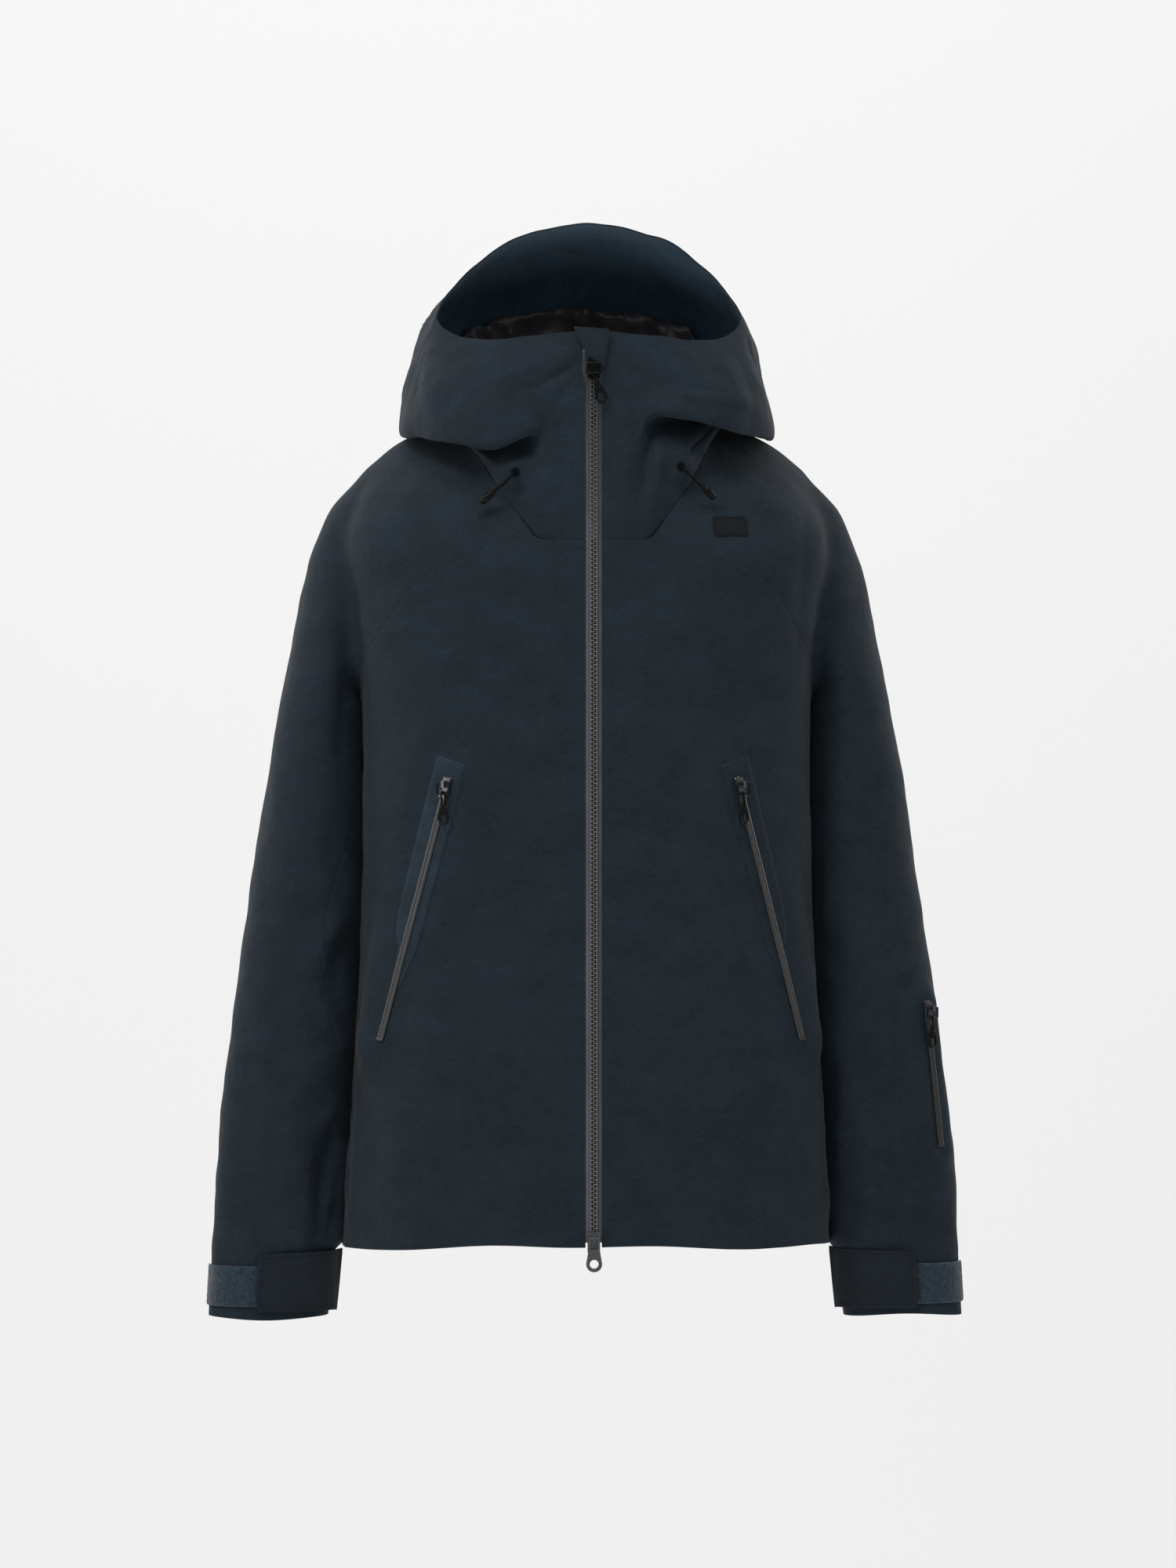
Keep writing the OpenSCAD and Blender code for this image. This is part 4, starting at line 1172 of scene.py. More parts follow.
def make_hood():
    columns = np.linspace(0, 4, HOOD_COLUMNS)
    lowest = -0.35
    rows = np.concatenate([[lowest], np.linspace(0, 7, HOOD_ROWS)])
    grid = hood_grid(columns, np.maximum(rows, 0))
    down = grid[1] - grid[6]
    down /= np.linalg.norm(down, axis=1, keepdims=True)
    grid[0] = grid[1] + down * 7
    inward = np.stack([-np.sin(np.pi / 2 * np.minimum(columns, 4 - columns)) * np.where(columns < 2, 1, -1),
                       np.cos(np.pi / 2 * np.minimum(columns, 4 - columns)), 0 * columns], -1)
    for k, tuck in enumerate((2.4, 0.5, 0.3, 0.1)):
        grid[k] += inward * tuck + (0, 0, -0.6 * tuck)
    points = grid.reshape(-1, 3)
    faces = grid_faces(len(columns), len(rows))
    n = normals_of(points, faces)
    uv = np.stack(np.meshgrid(columns, rows), -1).reshape(-1, 2)
    height = np.zeros(len(points))
    front = (n[:, 1] < -0.15) & (uv[:, 1] > 0.2) & (points[:, 1] < -40)
    for path, width, size in HOOD_FOLDS:
        dist, along = line_distance(points[front][:, [0, 2]], path)
        ends = np.sin(np.pi * np.clip(along, 0.02, 0.98)) ** 0.6
        height[front] += size * ends * np.exp(-(dist / width) ** FOLD_POW)
    quiet = smoothstep(np.abs(points[:, 0]) + 1e3 * (points[:, 1] > -90), 9, 30)
    wrinkle = 1.2 * noise_at(points, 48, 5.0) + 0.6 * noise_at(points, 20, 2.0)
    round_q = np.minimum(uv[:, 0], 4 - uv[:, 0])
    loose = smoothstep(uv[:, 1], 4.2, 5.4) * (1 - 0.85 * smoothstep(uv[:, 1], 6.0, 6.9))
    loose *= smoothstep(round_q, 0.7, 1.1) * (0.35 + 0.9 * (1 - smoothstep(round_q, 1.2, 1.6)))
    wrinkle += loose * (2.4 * noise_at(points * (1, 1, 0.5), 30, 7.7) + 1.6 * crumpled(points, 17, 1.3))
    height += wrinkle * quiet * smoothstep(uv[:, 1], 0.1, 0.8)
    points = points + n * height[:, None]
    for x, y, z in EYELETS:
        w = 1 - smoothstep(np.hypot(points[:, 0] - x, points[:, 2] - z), 5, 20)
        w *= (uv[:, 1] < 2.0) & (points[:, 1] < -60)
        points[:, 1] += w * (y + 0.5 - points[:, 1])
    tris = np.array([t for f in faces for t in ((f[0], f[1], f[2]), (f[0], f[2], f[3]))])
    rest = np.stack([uv[:, 0], uv[:, 1], points[:, 0]], -1)
    hood = Sheet(points, rest, tris)
    off_tape = lambda r: np.abs(r[:, 2]) - TAPE_HALF
    behind = lambda r: np.minimum(r[:, 0], 4 - r[:, 0]) * 1e3 - 300
    hood = hood.keep(lambda r: np.maximum(off_tape(r), behind(r)))
    brim_row = lambda r: np.interp(np.minimum(r[:, 0], 4 - r[:, 0]), [0, 0.95, 1.15, 2], [7.5, 7.0, 6.1, 6.0])
    cloth, brim = hood.split(lambda r: brim_row(r) - r[:, 1])
    sides, centre = cloth.split(lambda r: np.abs(r[:, 0] - 2) - (2 - CENTRE_START))
    left, right = sides.split(lambda r: 2 - r[:, 0])
    hidden = lambda r: (r[:, 1] > 0.5) & (np.abs(r[:, 2]) > TAPE_HALF + 1)
    for side, part in (("left", left), ("right", right)):
        obj = sheet_object(f"hood_side_look_{side}", part, 0.15, hidden, 1.0)
        for face in obj.data.polygons:
            if face.center.z < THROAT_INSIDE_Z * MM:
                face.material_index = 0
        two_sided_piece(obj, [f"hood_side_{side}", f"throat_panel_{side}"])
    two_sided_piece(sheet_object("hood_centre_look", centre, 0.15, hidden, 1.0), ["hood_centre"])
    obj = sheet_object("hood_brim_look", brim, 0.1, hidden, 1.4)
    two_sided_piece(obj, ["hood_brim"])


# ---------------------------------------------------------------- small helpers for fittings

def surface_tree(objects):
    """A tree for finding the outer face of some objects."""
    points, faces = [], []
    for obj in objects:
        base = len(points)
        points += [tuple(v.co) for v in obj.data.vertices]
        faces += [tuple(base + i for i in f.vertices) for f in obj.data.polygons]
    return BVHTree.FromPolygons(points, faces)


def onto(tree, point, direction, reach=60):
    """Where a ray from well outside meets the surface: (place, normal) in millimetres, or None."""
    d = Vector(direction).normalized()
    start = Vector(world(point)) - d * reach * MM
    hit, normal, _, _ = tree.ray_cast(start, d, 2 * reach * MM)
    if hit is None:
        return None
    return np.array(hit) / MM - (0, MID_Y, 0), np.array(normal)


def plate(name, outline, thick, place=(0, 0, 0), axes=None, edge=0.25):
    """A flat plate from an outline in millimetres, with softened edges. axes are its X, Y and Z."""
    x, y, z = np.array(axes if axes is not None else np.eye(3), float)
    place = np.array(place, float)
    outline = np.array(outline, float)
    low = [place + a * x + b * y for a, b in outline]
    high = [p + thick * z for p in low]
    obj = mesh_object(name, *closed_solid([np.array(low), np.array(high)]), smooth=False)
    if edge:
        bevel(obj, edge, 2)
        obj.data.polygons.foreach_set("use_smooth", [True] * len(obj.data.polygons))
    return obj


def rounded_outline(width, height, radius, steps=6):
    points = []
    for sx, sy, start in ((1, 1, 0), (-1, 1, 90), (-1, -1, 180), (1, -1, 270)):
        for k in range(steps + 1):
            a = math.radians(start + 90 * k / steps)
            points.append((sx * (width / 2 - radius) + radius * math.cos(a),
                           sy * (height / 2 - radius) + radius * math.sin(a)))
    return points


def stitches(name, path, normals, pitch=2.6, length=1.9, radius=0.28):
    """A row of thread stitches along a path that lies on a surface."""
    path, normals = np.asarray(path, float), np.asarray(normals, float)
    step = np.linalg.norm(np.diff(path, axis=0), axis=1)
    run = np.concatenate([[0], np.cumsum(step)])
    points, faces = [], []
    ring = [(math.cos(a), math.sin(a)) for a in np.arange(6) * math.pi / 3]
    for s in np.arange(pitch / 2, run[-1], pitch):
        centre = np.array([np.interp(s, run, path[:, k]) for k in range(3)])
        ahead = np.array([np.interp(s + 0.4, run, path[:, k]) for k in range(3)]) - centre
        if np.linalg.norm(ahead) < 1e-6:
            continue
        ahead /= np.linalg.norm(ahead)
        up = np.array([np.interp(s, run, normals[:, k]) for k in range(3)])
        up = up - ahead * (up @ ahead)
        up /= np.linalg.norm(up)
        side = np.cross(ahead, up)
        base = len(points)
        for t, r, lift in ((-0.5, 0.35, -0.25), (-0.25, 1, 0.05), (0.25, 1, 0.05), (0.5, 0.35, -0.25)):
            for c, d in ring:
                round_it = radius * r * (c * side + d * up)
                points.append(centre + ahead * length * t + round_it + up * lift * radius * 2)
        for j in range(3):
            for i in range(6):
                k = (i + 1) % 6
                faces.append((base + 6 * j + i, base + 6 * j + k, base + 6 * j + 6 + k, base + 6 * j + 6 + i))
        faces.append(tuple(base + i for i in range(5, -1, -1)))
        faces.append(tuple(base + 18 + i for i in range(6)))
    return mesh_object(name, np.array(points), faces)


# ---------------------------------------------------------------- main zip

TAPE_Y = -128.2
TEETH_LOW, TEETH_RUN, TOOTH_PITCH = -692.0, 716.4, 3.6
TAPE_TOP_Z = 38.0


def tooth_shape():
    """One moulded tooth that reaches from its cord (x 3.1) past the middle (x -0.9), 2.5 high."""
    outline = [(3.2, -0.8), (1.9, -0.8), (1.1, -0.42), (0.5, -0.42), (-0.2, -0.68), (-0.9, -0.45),
               (-0.9, 0.45), (-0.2, 0.68), (0.5, 0.42), (1.1, 0.42), (1.9, 0.8), (3.2, 0.8)]
    stations = [(-1.2, 0.72), (-0.95, 0.92), (-0.6, 1.0), (1.3, 1.0), (1.75, 0.92), (2.0, 0.7)]
    rings = []
    for y, scale in stations:
        rings.append(np.array([(1.15 + (x - 1.15) * (0.5 + scale / 2), y, z * scale) for x, z in outline]))
    return closed_solid(rings)


def make_main_zip():
    shape, faces = tooth_shape()
    for side, sign in SIDES.items():
        start = TEETH_LOW + (0.9 if side == "left" else 0.9 + TOOTH_PITCH / 2)
        points, all_faces = [], []
        for z in np.arange(start, TEETH_LOW + TEETH_RUN - 1.2, TOOTH_PITCH):
            base = sum(len(p) for p in points)
            points.append(shape * (sign, 1, 1) + (0, TAPE_Y, z))
            all_faces += [tuple(base + i for i in (f if sign < 0 else f[::-1])) for f in faces]
        rod = np.arange(0, 2 * math.pi, math.pi / 5)
        for z in (TEETH_LOW, TEETH_LOW + TEETH_RUN):
            x, y = sign * (2.55 + 0.75 * np.cos(rod)), TAPE_Y + 0.4 + 1.25 * np.sin(rod)
            points.append(np.stack([x, y, z + 0 * rod], -1))
        base = sum(len(p) for p in points[:-2])
        for i in range(len(rod)):
            k = (i + 1) % len(rod)
            all_faces.append((base + i, base + k, base + len(rod) + k, base + len(rod) + i))
        obj = mesh_object(f"main_zip_teeth_look_{side}", np.concatenate(points), all_faces)
        bevel(obj, 0.12, 1, 40)
        finish_piece(obj, TOOTH, "root", [f"main_zip_teeth_{side}"])

        # the tape: flat coated face, a raised bead beside the teeth, its outer edge tucked under the panel
        profile = [(2.9, 0.9), (3.1, 0.3), (3.6, 0.1), (4.1, 0.35), (4.6, 0.5),
                   (6.5, 0.5), (9.2, 1.3), (9.2, 1.7), (6.4, 1.3), (3.2, 1.3)]
        rings = []
        for h in np.linspace(TEETH_LOW, TAPE_TOP_Z, 180):
            sway = 0.12 * math.sin(h / 23.0) + 0.06 * math.sin(h / 7.0)
            ring = [(sign * x, TAPE_Y + y + sway * (0.2 if x > 7 else 1), h) for x, y in profile]
            rings.append(np.array(ring))
        obj = mesh_object(f"main_zip_tape_look_{side}", *closed_solid(rings))
        bevel(obj, 0.1, 1, 50)
        finish_piece(obj, MAIN_TAPE, "root", [f"main_zip_tape_{side}"])


# The garage's two side edges, as (z, x) from its top to its low end
GARAGE_LEFT = [(56.5, -16.5), (52, -14.5), (46, -11.2), (40, -8.8), (34, -7.2), (28.5, -6.0)]
GARAGE_RIGHT = [(55, 12.6), (44, 12.0), (34, 10.8), (23, 9.6)]


def make_zip_garage():
    """The flap over the top of the zip: a fold of cloth with a curved left edge."""
    across, rows = 22, 26
    level = np.linspace(0, 1, rows)
    left, right = (spline(np.array(edge), level * (len(edge) - 1)) for edge in (GARAGE_LEFT, GARAGE_RIGHT))
    points = []
    for (z0, x0), (z1, x1), v in zip(left, right, level):
        for t in np.linspace(0, 1, across):
            edge = min(t, 1 - t) * (x1 - x0)
            bulge = -3.0 + 2.0 * math.exp(-edge / 1.4) - 0.7 * math.sin(math.pi * t)
            low = 1.0 * math.exp(-(1 - v) * 14)
            points.append((x0 + (x1 - x0) * t, TAPE_Y + bulge + low, z0 + (z1 - z0) * t))
    obj = mesh_object("zip_garage_look", np.array(points), [f[::-1] for f in grid_faces(across, rows)])
    solidify(obj, 1.0, -1)
    bevel(obj, 0.3, 2, 50)
    return finish_piece(obj, SHELL, "root", ["zip_garage"])


# ---------------------------------------------------------------- pulls

def loop_path(points, steps=10):
    points = np.array(points, float)
    return spline(points, np.linspace(0, len(points) - 1, steps * (len(points) - 1) + 1))


GRIP_VOXEL = 0.35


def cord_pull_pieces(name, hinge, turn, lean=0.0):
    """A loop of cord round the ring's lower bar, and its moulded end."""
    bar = -8.0
    strand = []
    for x, y, z in [(0.9, 0, -11), (1.0, 0.3, -7.5), (1.15, 0.8, -3.6), (0.9, 1.25, -0.6),
                    (0.0, 1.3, 1.2), (-0.9, 0.4, 1.35), (-1.2, -0.9, 0.4), (-1.2, -1.3, -2.0),
                    (-1.1, -0.6, -6.0), (-0.9, 0, -11)]:
        strand.append((x, y, bar + z))
    path = loop_path(strand, 8)
    cord = tube(f"{name}_loop", path, [0.8] * len(path), 12)
    ring = [(0, -10.6), (1.75, -11.4), (2.5, -14), (3.3, -17), (3.7, -20), (3.0, -23), (0, -24.6),
            (-3.0, -23), (-3.7, -20), (-3.3, -17), (-2.5, -14), (-1.75, -11.4), (0, -10.6)]
    body = loop_path([(x, 0, bar + z) for x, z in ring], 5)
    end = tube(f"{name}_grip", body, [1.15] * len(body), 12)
    heart = loop_path([(0, 0, bar - 10.2), (0, 0, bar - 12.5), (0, 0, bar - 15), (0, 0, bar - 17.4)], 4)
    core = tube(f"{name}_core", heart, np.linspace(1.8, 1.1, len(heart)), 12)
    end = joined(f"{name}_grip", [end, core])
    voxel_remesh(end, GRIP_VOXEL)
    end.data.polygons.foreach_set("use_smooth", [True] * len(end.data.polygons))
    out = Matrix.Rotation(math.radians(turn), 4, "Z")
    tilt = Matrix.Rotation(math.radians(lean), 4, "Y")
    shift = Matrix.Translation(Vector((0, 0, bar * MM)))
    for obj in (cord, end):
        # the shapes were made in the body's frame, round its origin
        home = Matrix.Translation(-Vector((0, MID_Y * MM, 0)))
        place = Matrix.Translation(Vector(hinge) * MM)
        obj.data.transform(place @ out @ shift @ tilt @ shift.inverted() @ home)
    return cord, end


HINGE_OUT = 6.0


def make_pull(name, body, node, hinge, turn, lean=0.0):
    cord, grip = cord_pull_pieces(name, hinge, turn, lean)
    finish_piece(cord, CORD, body, [node])
    finish_piece(grip, MOULDED, body)


def make_pulls():
    y = TAPE_Y - HINGE_OUT + MID_Y
    make_pull("top_pull", "top_cord_pull", "top_cord_pull", (0, y, 26.5), 0, -17)
    for side, sign in SIDES.items():
        make_pull(f"hand_pull_{side}", f"hand_cord_pull_{side}", f"hand_cord_pull_{side}",
                  (sign * 123.0, -215.196, -317.0), sign * 30)
    make_pull("sleeve_pull", "sleeve_cord_pull", "sleeve_cord_pull", (287.776, -137.163, -504.0), 39)


# ---------------------------------------------------------------- pocket zips and welts

def strip_along(name, top, low, turn, profile, start=-6.0, end=0.0, rows=60, sway=0.0):
    """A solid strip along a pocket zip. profile is its section as (across, out)."""
    across, down, out = zip_frame(top, low, turn)
    length = np.linalg.norm(low - top)
    rings = []
    for s in np.linspace(start, length + end, rows):
        wobble = sway * math.sin(s / 17.0)
        rings.append(np.array([top + down * s + across * (a + wobble) + out * b for a, b in profile]))
    points, faces = closed_solid(rings)
    obj = mesh_object(name, points, faces)
    faces_out(obj)
    return obj


def coil_zip(name, node, top, low, turn):
    """A water-resistant pocket zip: two coated lips that meet over the hidden coil, and an end tack."""
    across, down, out = zip_frame(top, low, turn)
    lips = [(-3.1, -0.9), (-3.1, -0.3), (-2.7, 0.0), (-1.8, 0.3), (-0.8, 0.2), (-0.3, -0.1), (0, -0.6)]
    lips += [(-a, b) for a, b in lips[-2::-1]]
    tape = strip_along(name, top, low, turn, lips, sway=0.08)
    axes = (across, -down, out)
    tack = plate(f"{name}_tack", rounded_outline(6, 2.5, 0.8), 0.5, low - down * 1.2, axes, 0.15)
    head = plate(f"{name}_stop", rounded_outline(5.2, 2.0, 0.7), 0.5, top - down * 4.6, axes, 0.15)
    both = joined(name, [tape, tack, head])
    return finish_piece(both, POCKET_TAPE, "root", [node])


def conformed_band(name, tree, path, normals, widths, lift, thick, look, rows=40, across_points=9):
    """A thin band that lies on a surface. path, normals and widths are given along it."""
    path, normals, widths = (np.asarray(v, float) for v in (path, normals, widths))
    t = np.linspace(0, len(path) - 1, rows)
    keys = np.arange(len(path))
    along = lambda v: np.stack([np.interp(t, keys, v[:, k]) for k in range(v.shape[1])], -1)
    centre, out = along(path), along(normals)
    wide = along(widths)
    ahead = np.gradient(centre, axis=0)
    points = []
    for p, d, n, (a, b) in zip(centre, ahead, out, wide):
        side = np.cross(d, n)
        side /= np.linalg.norm(side)
        for u in np.linspace(-a, b, across_points):
            hit = onto(tree, p + side * u, -n)
            place = hit[0] if hit else p + side * u
            points.append(place + n * (lift + thick))
    obj = mesh_object(name, np.array(points), grid_faces(across_points, rows))
    n = normals_of(read_points(obj.data), [tuple(f.vertices) for f in obj.data.polygons])
    if (n * np.repeat(out, across_points, 0)).sum(1).mean() < 0:
        obj.data.flip_normals()
    solidify(obj, thick, -1)
    return finish_piece(obj, look, "root")


# How far along the zip, and the welt's width on its inner and outer side there
WELT_WIDTHS = ((-20, 16, 11), (0, 16, 12), (60, 15, 12), (112, 14, 12), (130, 11, 12), (142, 5, 11),
               (172, 4, 5))


def make_pocket_zips(tree):
    for (top, low, turn), side in zip(ZIPS[:2], ("left", "right")):
        coil_zip(f"hand_zip_look_{side}", f"hand_zip_{side}", top, low, turn)
        _, down, out = zip_frame(top, low, turn)
        path, widths = [], []
        for s, near, far in WELT_WIDTHS:
            path.append(top + down * s)
            widths.append((near, far) if side == "left" else (far, near))
        # Painted light: the wearer's right welt, on the side the key lamp lights, gets the lighter copy of
        # the shell cloth.
        look = WELT_PAINTED_LIGHT if side == "right" else SHELL
        conformed_band(f"hand_welt_{side}", tree, path, [out] * len(path), widths, 0.05, 0.45, look)
    coil_zip("sleeve_zip_look", "sleeve_zip", *ZIPS[2])


# ---------------------------------------------------------------- cuffs

TAB_LOW, TAB_HEIGHT = -756.0, 48.0
TAB_U = (3.1, 4.2)


def wrap_sheet(name, sign, us, zs, out, thick, edge_round=0.0, shape=None):
    """A curved patch round a sleeve as a solid. shape(u share, z share) gives (du, dz) in millimetres."""
    points = []
    for j, z in enumerate(zs):
        for i, u in enumerate(us):
            a, b = i / (len(us) - 1), j / (len(zs) - 1)
            du, dz, lift = shape(a, b) if shape else (0, 0, 0)
            p = sleeve(np.array(u + du), np.array(z + dz), out + lift)
            points.append(p * (sign, 1, 1))
    points = np.array(points)
    obj = mesh_object(name, points, grid_faces(len(us), len(zs)))
    n = normals_of(points, grid_faces(len(us), len(zs)))
    centre = np.array([sign * 265.0, -10.0, 0])
    if ((points - centre) * (1, 1, 0) * n).sum(1).mean() < 0:
        obj.data.flip_normals()
    solidify(obj, thick, -1)
    if edge_round:
        bevel(obj, edge_round, 2, 50)
    return obj


# The tab's hinge line, as |x| and y at TAB_LOW, and how far it leans for each millimetre up
TAB_HINGE = np.array([209.9, -12.0])
TAB_HINGE_LEAN = np.array([-0.0968, 0.0193])
TAB_BASE_RADIUS = 0.9


def make_tab_base(side, sign):
    """The fold of sleeve cloth that a tab is sewn to, from the sleeve out to the hinge line."""
    rings = []
    for z in np.linspace(TAB_LOW + 1, TAB_LOW + TAB_HEIGHT - 1, 14):
        hinge = np.array([*(TAB_HINGE + TAB_HINGE_LEAN * (z - TAB_LOW)), z])
        front, back = (sleeve(np.array(u), np.array(z), -1.2) for u in (3.1, 2.93))
        ahead = hinge - (front + back) / 2
        ahead /= np.linalg.norm(ahead)
        across = np.array([-ahead[1], ahead[0], 0.0])
        if across @ (front - back) < 0:
            across = -across
        nose = [hinge + TAB_BASE_RADIUS * (math.cos(a) * across + math.sin(a) * ahead)
                for a in np.linspace(0, math.pi, 7)]
        rings.append(np.array([front, *nose, back]) * (sign, 1, 1))
    obj = mesh_object(f"cuff_tab_base_{side}", *closed_solid(rings))
    faces_out(obj)
    obj.data.set_sharp_from_angle(angle=math.radians(RIM_ANGLE))
    return finish_piece(obj, CUFF_TAB)


def make_cuffs():
    for side, sign in SIDES.items():

        def tab_shape(a, b, sign=sign):
            # the top edge rises towards the hinge, but stays below the hem as the tab swings out
            rise = 2.4 * (1 - a)
            droop = 1.5 * math.exp(-a * 9) * (1 - b) - rise * b
            round_end = 0.05 * max(0.0, a - 0.93) / 0.07 * abs(2 * b - 1) ** 6
            wave = 0.5 * math.sin(a * 8.0 + b * 2.0) + 0.35 * math.sin(a * 19 + 3 * b)
            # the fixed end reaches out to the hinge line, which leans away from the sleeve
            return -round_end, -droop, 0.45 * wave + (2.35 + 2.2 * b) * math.exp(-a * 9)

        us = np.linspace(TAB_U[0], TAB_U[1], 44)
        zs = np.linspace(TAB_LOW, TAB_LOW + TAB_HEIGHT, 24)
        tab = wrap_sheet(f"cuff_tab_look_{side}", sign, us, zs, 4.4, 1.5, 0.4, tab_shape)
        finish_piece(tab, CUFF_TAB, f"cuff_tab_{side}", [f"cuff_tab_{side}"])
        make_tab_base(side, sign)

        inset = 3.2
        near, far = TAB_U[0] + 0.02, TAB_U[1] - 0.06
        foot, head = TAB_LOW + inset, TAB_LOW + TAB_HEIGHT - inset
        rows = []
        for u0, u1, z0, z1 in ((near, far, foot, foot), (far, far, foot, head), (far, near, head, head)):
            for t in np.linspace(0, 1, 30, endpoint=False):
                u, z = u0 + (u1 - u0) * t, z0 + (z1 - z0) * t
                a, b = (u - us[0]) / (us[-1] - us[0]), (z - zs[0]) / (zs[-1] - zs[0])
                du, dz, lift = tab_shape(a, b)
                rows.append((u + du, z + dz, 4.42 + lift))
        path = np.array([sleeve(np.array(u), np.array(z), o) * (sign, 1, 1) for u, z, o in rows])
        outer = np.array([sleeve(np.array(u), np.array(z), o + 1) * (sign, 1, 1) for u, z, o in rows])
        thread = stitches(f"cuff_tab_stitches_{side}", path, outer - path, 3.0, 2.2, 0.24)
        finish_piece(thread, THREAD, f"cuff_tab_{side}")

        hook = wrap_sheet(f"cuff_hook_patch_look_{side}", sign, np.linspace(4.06, 4.18, 8),
                          np.linspace(-751, -722, 12), 2.6, 0.9, 0.2)
        finish_piece(hook, HOOK_PILE, f"cuff_tab_{side}", [f"cuff_hook_patch_{side}"])

        rough = np.random.default_rng(3)
        bumps = rough.uniform(-0.32, 0.32, (60, 40))

        def pile(a, b):
            edge = min(a, 1 - a, b, 1 - b)
            tuft = bumps[int(a * 59), int(b * 39)] if edge > 0.02 else 0.0
            return 0, 0, tuft - 0.7 * math.exp(-edge * 40)

        loop = wrap_sheet(f"cuff_loop_patch_look_{side}", sign, np.linspace(0.05, 1.0, 60),
                          np.linspace(-752, -718, 40), 1.7, 0.9, 0, pile)
        finish_piece(loop, LOOP_PILE, "root", [f"cuff_loop_patch_{side}"])


# ---------------------------------------------------------------- badge, loop, linings, bags

BADGE_PLACE, BADGE_TURN = np.array([114, -119.2, -104.0]), 14


def make_badge(tree):
    """A plain felt badge with a stitched edge, laid on the chest."""
    a = math.radians(BADGE_TURN)
    look = np.array([math.sin(a), -math.cos(a), 0.3])
    look /= np.linalg.norm(look)
    x = np.cross(np.array([0, 0, 1.0]), -look)
    x /= np.linalg.norm(x)
    if x[0] < 0:
        x = -x
    y = np.cross(look, x) if np.cross(look, x)[2] > 0 else -np.cross(look, x)
    hit = onto(tree, BADGE_PLACE, -look)
    centre = hit[0] if hit else BADGE_PLACE

    def sheet_of(name, outline, lift, thick, material):
        ring = np.array(outline, float)
        rings = []
        for k, rise in ((1.0, -thick), (1.0, 0), (0.93, 0.12), (0.5, 0.18), (0.05, 0.2)):
            row = []
            for u, v in ring * k:
                place = onto(tree, centre + x * u + y * v, -look)
                p = place[0] if place else centre + x * u + y * v
                row.append(p + look * (lift + rise))
            rings.append(np.array(row))
        points, faces = closed_solid(rings)
        obj = mesh_object(name, points, faces)
        faces_out(obj)
        return finish_piece(obj, material, "root")

    badge = sheet_of("chest_badge", rounded_outline(30, 18, 3.5, 8), 0.9, 0.9, BADGE)
    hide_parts("chest_emblem")
    loop = np.array(rounded_outline(26.6, 14.6, 2.6, 8) + rounded_outline(26.6, 14.6, 2.6, 8)[:1])
    path, normals = [], []
    for u, v in spline(loop, np.linspace(0, len(loop) - 1, 160)):
        hit = onto(tree, centre + x * u + y * v, -look)
        path.append((hit[0] if hit else centre + x * u + y * v) + look * 1.15)
        normals.append(look)
    finish_piece(stitches("chest_badge_stitches", path, normals, 2.0, 1.5, 0.26), THREAD, "root")


def make_hang_loop():
    """Webbing folded into a loop, with both ends stitched down. Its top inside edge is the origin."""
    path = [(-25.5, -11.5), (-26.6, -8.5), (-27, -5), (-26.6, -1.5), (-24.5, 0.7), (-20, 1.0), (0, 1.0),
            (20, 1.0), (24.5, 0.7), (26.6, -1.5), (27, -5), (26.6, -8.5), (25.5, -11.5)]
    line = loop_path([(x, 0, z) for x, z in path], 5)
    ahead = np.gradient(line, axis=0)
    out = np.stack([-ahead[:, 2], 0 * ahead[:, 0], ahead[:, 0]], -1)
    out /= np.linalg.norm(out, axis=1, keepdims=True)
    rings = []
    for p, n in zip(line, out):
        rings.append(np.array([p + n * a + np.array([0, b, 0]) for a, b in
                               ((-0.8, -0.9), (0.8, -0.9), (0.95, 0), (0.8, 0.9), (-0.8, 0.9), (-0.95, 0))]))
    loop = mesh_object("hang_loop_look", *closed_solid([r + (0, -MID_Y, 0) for r in rings]))
    bar = plate("hang_loop_bar", rounded_outline(54, 3.4, 1.2), 1.7, (0, -MID_Y + 0.85, -11.2),
                ((1, 0, 0), (0, 0, 1), (0, -1, 0)), 0.3)
    both = joined("hang_loop_look", [loop, bar])
    faces_out(both)
    finish_piece(both, WEBBING, "root", ["hang_loop"])


def inside_ring(turn, s, depth):
    """The trunk's surface moved inwards: s 0 hem to 1 bust, and on to 2 at the neck."""
    if s <= 1:
        p = body_ring(turn, hem_z(0) + (BUST_Z - hem_z(0)) * s)
    else:
        p = bust(turn, s - 1)
    flat = p * (1, 1, 0)
    return p - flat / np.maximum(np.linalg.norm(flat, axis=1, keepdims=True), 1e-6) * depth


def inner_tube(name, levels, depths, wrinkle, nodes, material, thick=0.8, seed=0.0):
    turn = np.arange(0, 4, 1 / 36)
    points = np.concatenate([inside_ring(turn, s, 0) for s in levels])
    faces = grid_faces(len(turn), len(levels), closed=True)
    n = normals_of(points, faces)
    points = points - n * np.repeat(np.array(depths), len(turn))[:, None]
    height = wrinkle * noise_at(points, 55, seed) + 0.5 * wrinkle * noise_at(points, 22, seed + 4)
    height = np.minimum(height, wrinkle)
    fade = np.clip(np.repeat(np.array(depths) / max(depths), len(turn)), 0.1, 1)
    obj = mesh_object(name, points + n * (height * fade)[:, None], faces)
    solidify(obj, thick, 0)
    return finish_piece(obj, material, "root", nodes)


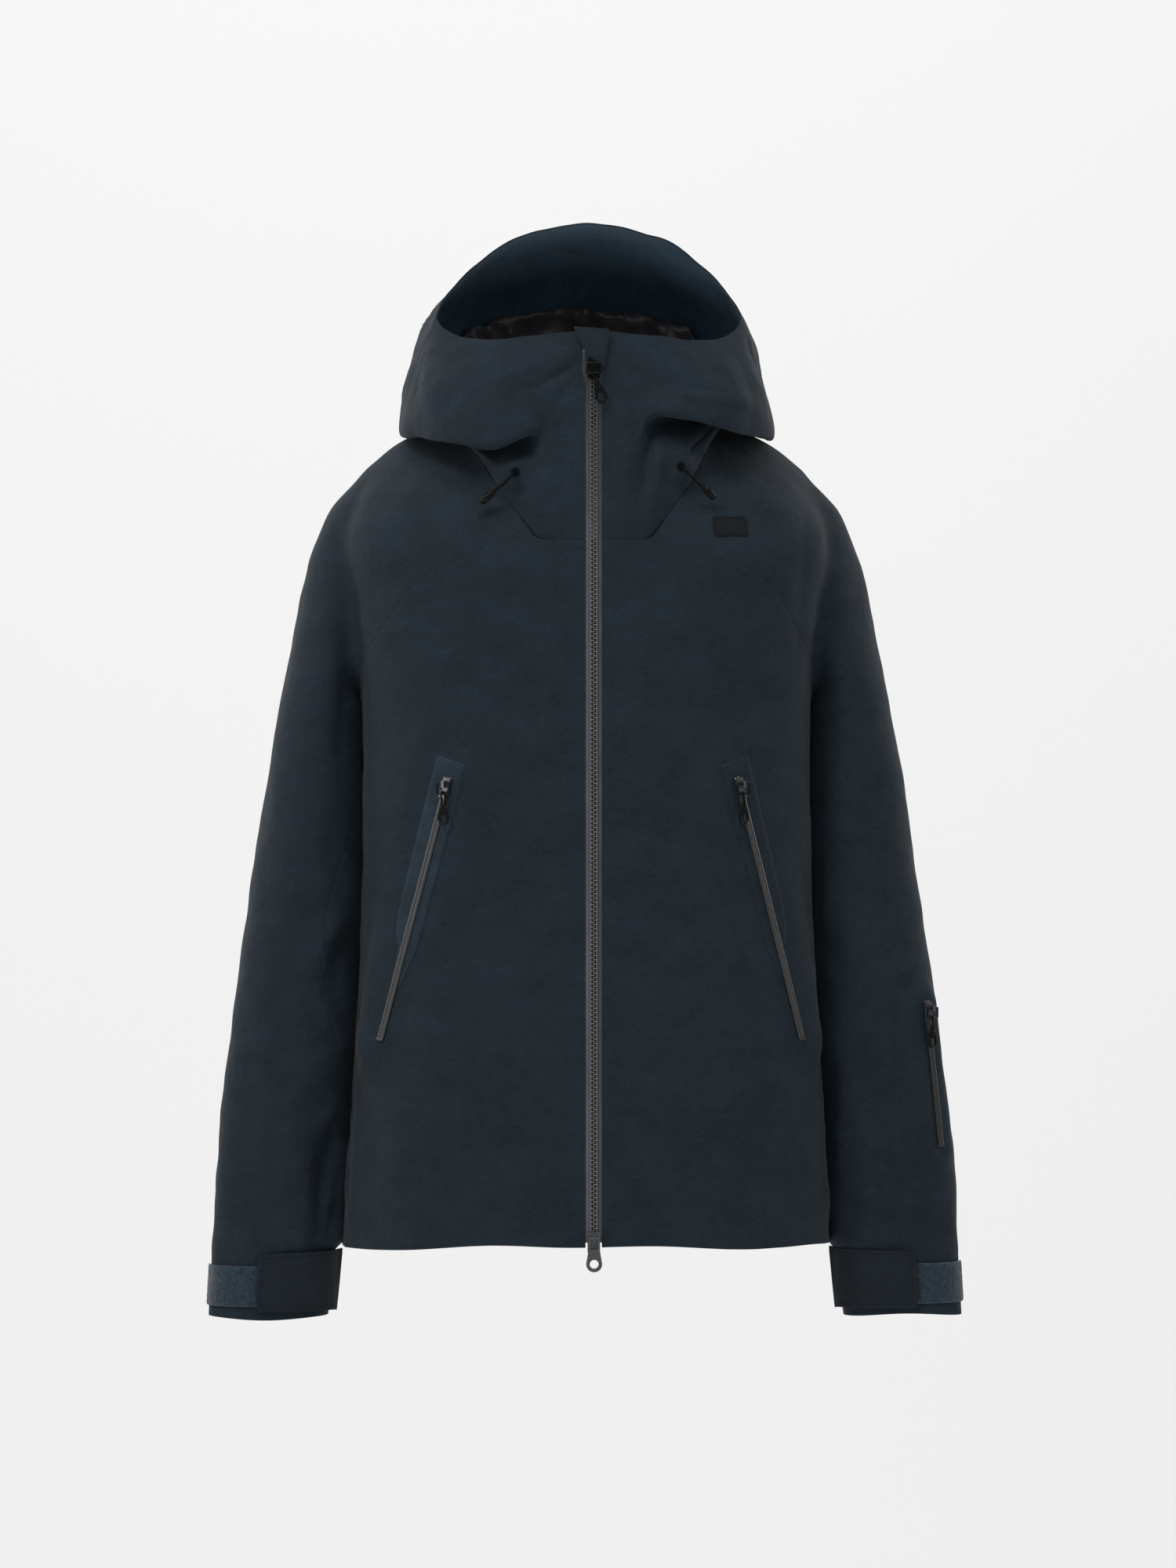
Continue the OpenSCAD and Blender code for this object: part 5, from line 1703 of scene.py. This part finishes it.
def make_linings():
    levels = np.concatenate([np.linspace(0.03, 1, 70), np.linspace(1.03, 1.98, 34)])
    depths = np.interp(levels, [0.03, 0.1, 1.2, 1.9, 1.98], [7, 9, 11, 9, 5])
    inner_tube("body_lining_look", levels, depths, 1.6, ["body_lining"], LINING)
    levels = np.linspace(0.12, 0.27, 22)
    skirt_depth = np.interp(levels, [0.12, 0.27], [21, 16])
    inner_tube("powder_skirt_look", levels, skirt_depth, 2.2, ["powder_skirt"], LINING, 1.0, 8.0)


def make_pocket_bags():
    for side, sign in SIDES.items():
        turn = np.linspace(0.26, 0.58, 26)
        levels = np.linspace(0.26, 0.72, 40)
        points = np.concatenate([inside_ring(turn, s, 4.6) for s in levels]) * (sign, 1, 1)
        faces = grid_faces(len(turn), len(levels))
        points[:, 1] += 0.5 * noise_at(points, 26, 2.0)
        obj = mesh_object(f"hand_pocket_bag_look_{side}", points, faces)
        solidify(obj, 1.2, 0)
        finish_piece(obj, LINING, "root", [f"hand_pocket_bag_{side}"])


def make_neck_lining():
    """Shiny lining inside the hood's back, loosely wrinkled."""
    columns = np.linspace(0.9, 3.1, 200)
    fine = np.arange(0, 6.01, 0.05)
    grid = hood_grid(columns, fine)
    top = np.interp(np.minimum(columns, 4 - columns), [0.9, 1.3, 1.6, 2], [3.2, 4.4, 5.66, 5.7])
    share = np.linspace(0, 1, 70)
    rows = 0.15 + share[:, None] * (top - 0.15)
    points = np.stack([np.stack([np.interp(rows[:, i], fine, grid[:, i, k]) for k in range(3)], -1)
                       for i in range(len(columns))], 1).reshape(-1, 3)
    faces = grid_faces(len(columns), len(share))
    n = normals_of(points, faces)
    low = np.repeat(np.minimum(share * 5, 1.0), len(columns))
    slant = points * (1, 1, 0.5) + points[:, 2:3] * (0.6, 0, 0)
    folds = 8.0 * np.abs(noise_at(slant, 19, 4.4)) + 3.0 * np.abs(noise_at(points, 9, 1.9))
    # inside the hood's roll there is only room for small folds
    loose = smoothstep(rows.ravel(), 3.9, 4.8)
    depth = 2.2 + low * (1.5 + 1.5 * loose + folds * (0.12 + 0.88 * loose))
    points = points - n * depth[:, None]
    obj = mesh_object("neck_lining_look", points, faces)
    solidify(obj, 0.6, 0)
    finish_piece(obj, LINING, "root", ["neck_lining"])


# ---------------------------------------------------------------- carried-over CAD parts

# The frame's meshes are split open at their sharp edges, where a bevel does nothing. So only the
# rings have one, and it reaches no more than the few edges that are still joined in them.
RING_BEVEL = 0.14
RING_BEVEL_FROM = 40


def dress_cad():
    looks = {
        "top_slider": BLACK_METAL, "top_slider_ring": BLACK_METAL, "bottom_slider": GREY_METAL,
        "bottom_slider_pull": GREY_METAL, "hood_eyelet_right": MOULDED, "hood_eyelet_left": MOULDED,
        "sleeve_slider": GREY_METAL, "sleeve_ring": BLACK_METAL,
    }
    for side in SIDES:
        looks[f"hand_slider_{side}"] = GREY_METAL
        looks[f"hand_ring_{side}"] = BLACK_METAL
    for node, look in looks.items():
        obj = frame["nodes"][node]
        obj.data.materials.clear()
        obj.data.materials.append(look)
        if "ring" in node:
            m = obj.modifiers.new("ring_bevel", "BEVEL")
            m.width = RING_BEVEL * MM
            m.segments = 2
            m.limit_method = "ANGLE"
            m.angle_limit = math.radians(RING_BEVEL_FROM)


make_panels()
make_hood()
make_main_zip()
make_zip_garage()
make_pulls()
panels = [bpy.data.objects[f"{name}_look_{side}"] for name in ("front_body", "hem_band") for side in SIDES]
arms = [bpy.data.objects[f"raglan_sleeve_{side}"] for side in SIDES]
make_pocket_zips(surface_tree(panels))
make_badge(surface_tree(panels + arms))
make_cuffs()
make_hang_loop()
make_linings()
make_pocket_bags()
make_neck_lining()
dress_cad()
make_stage()
make_light()
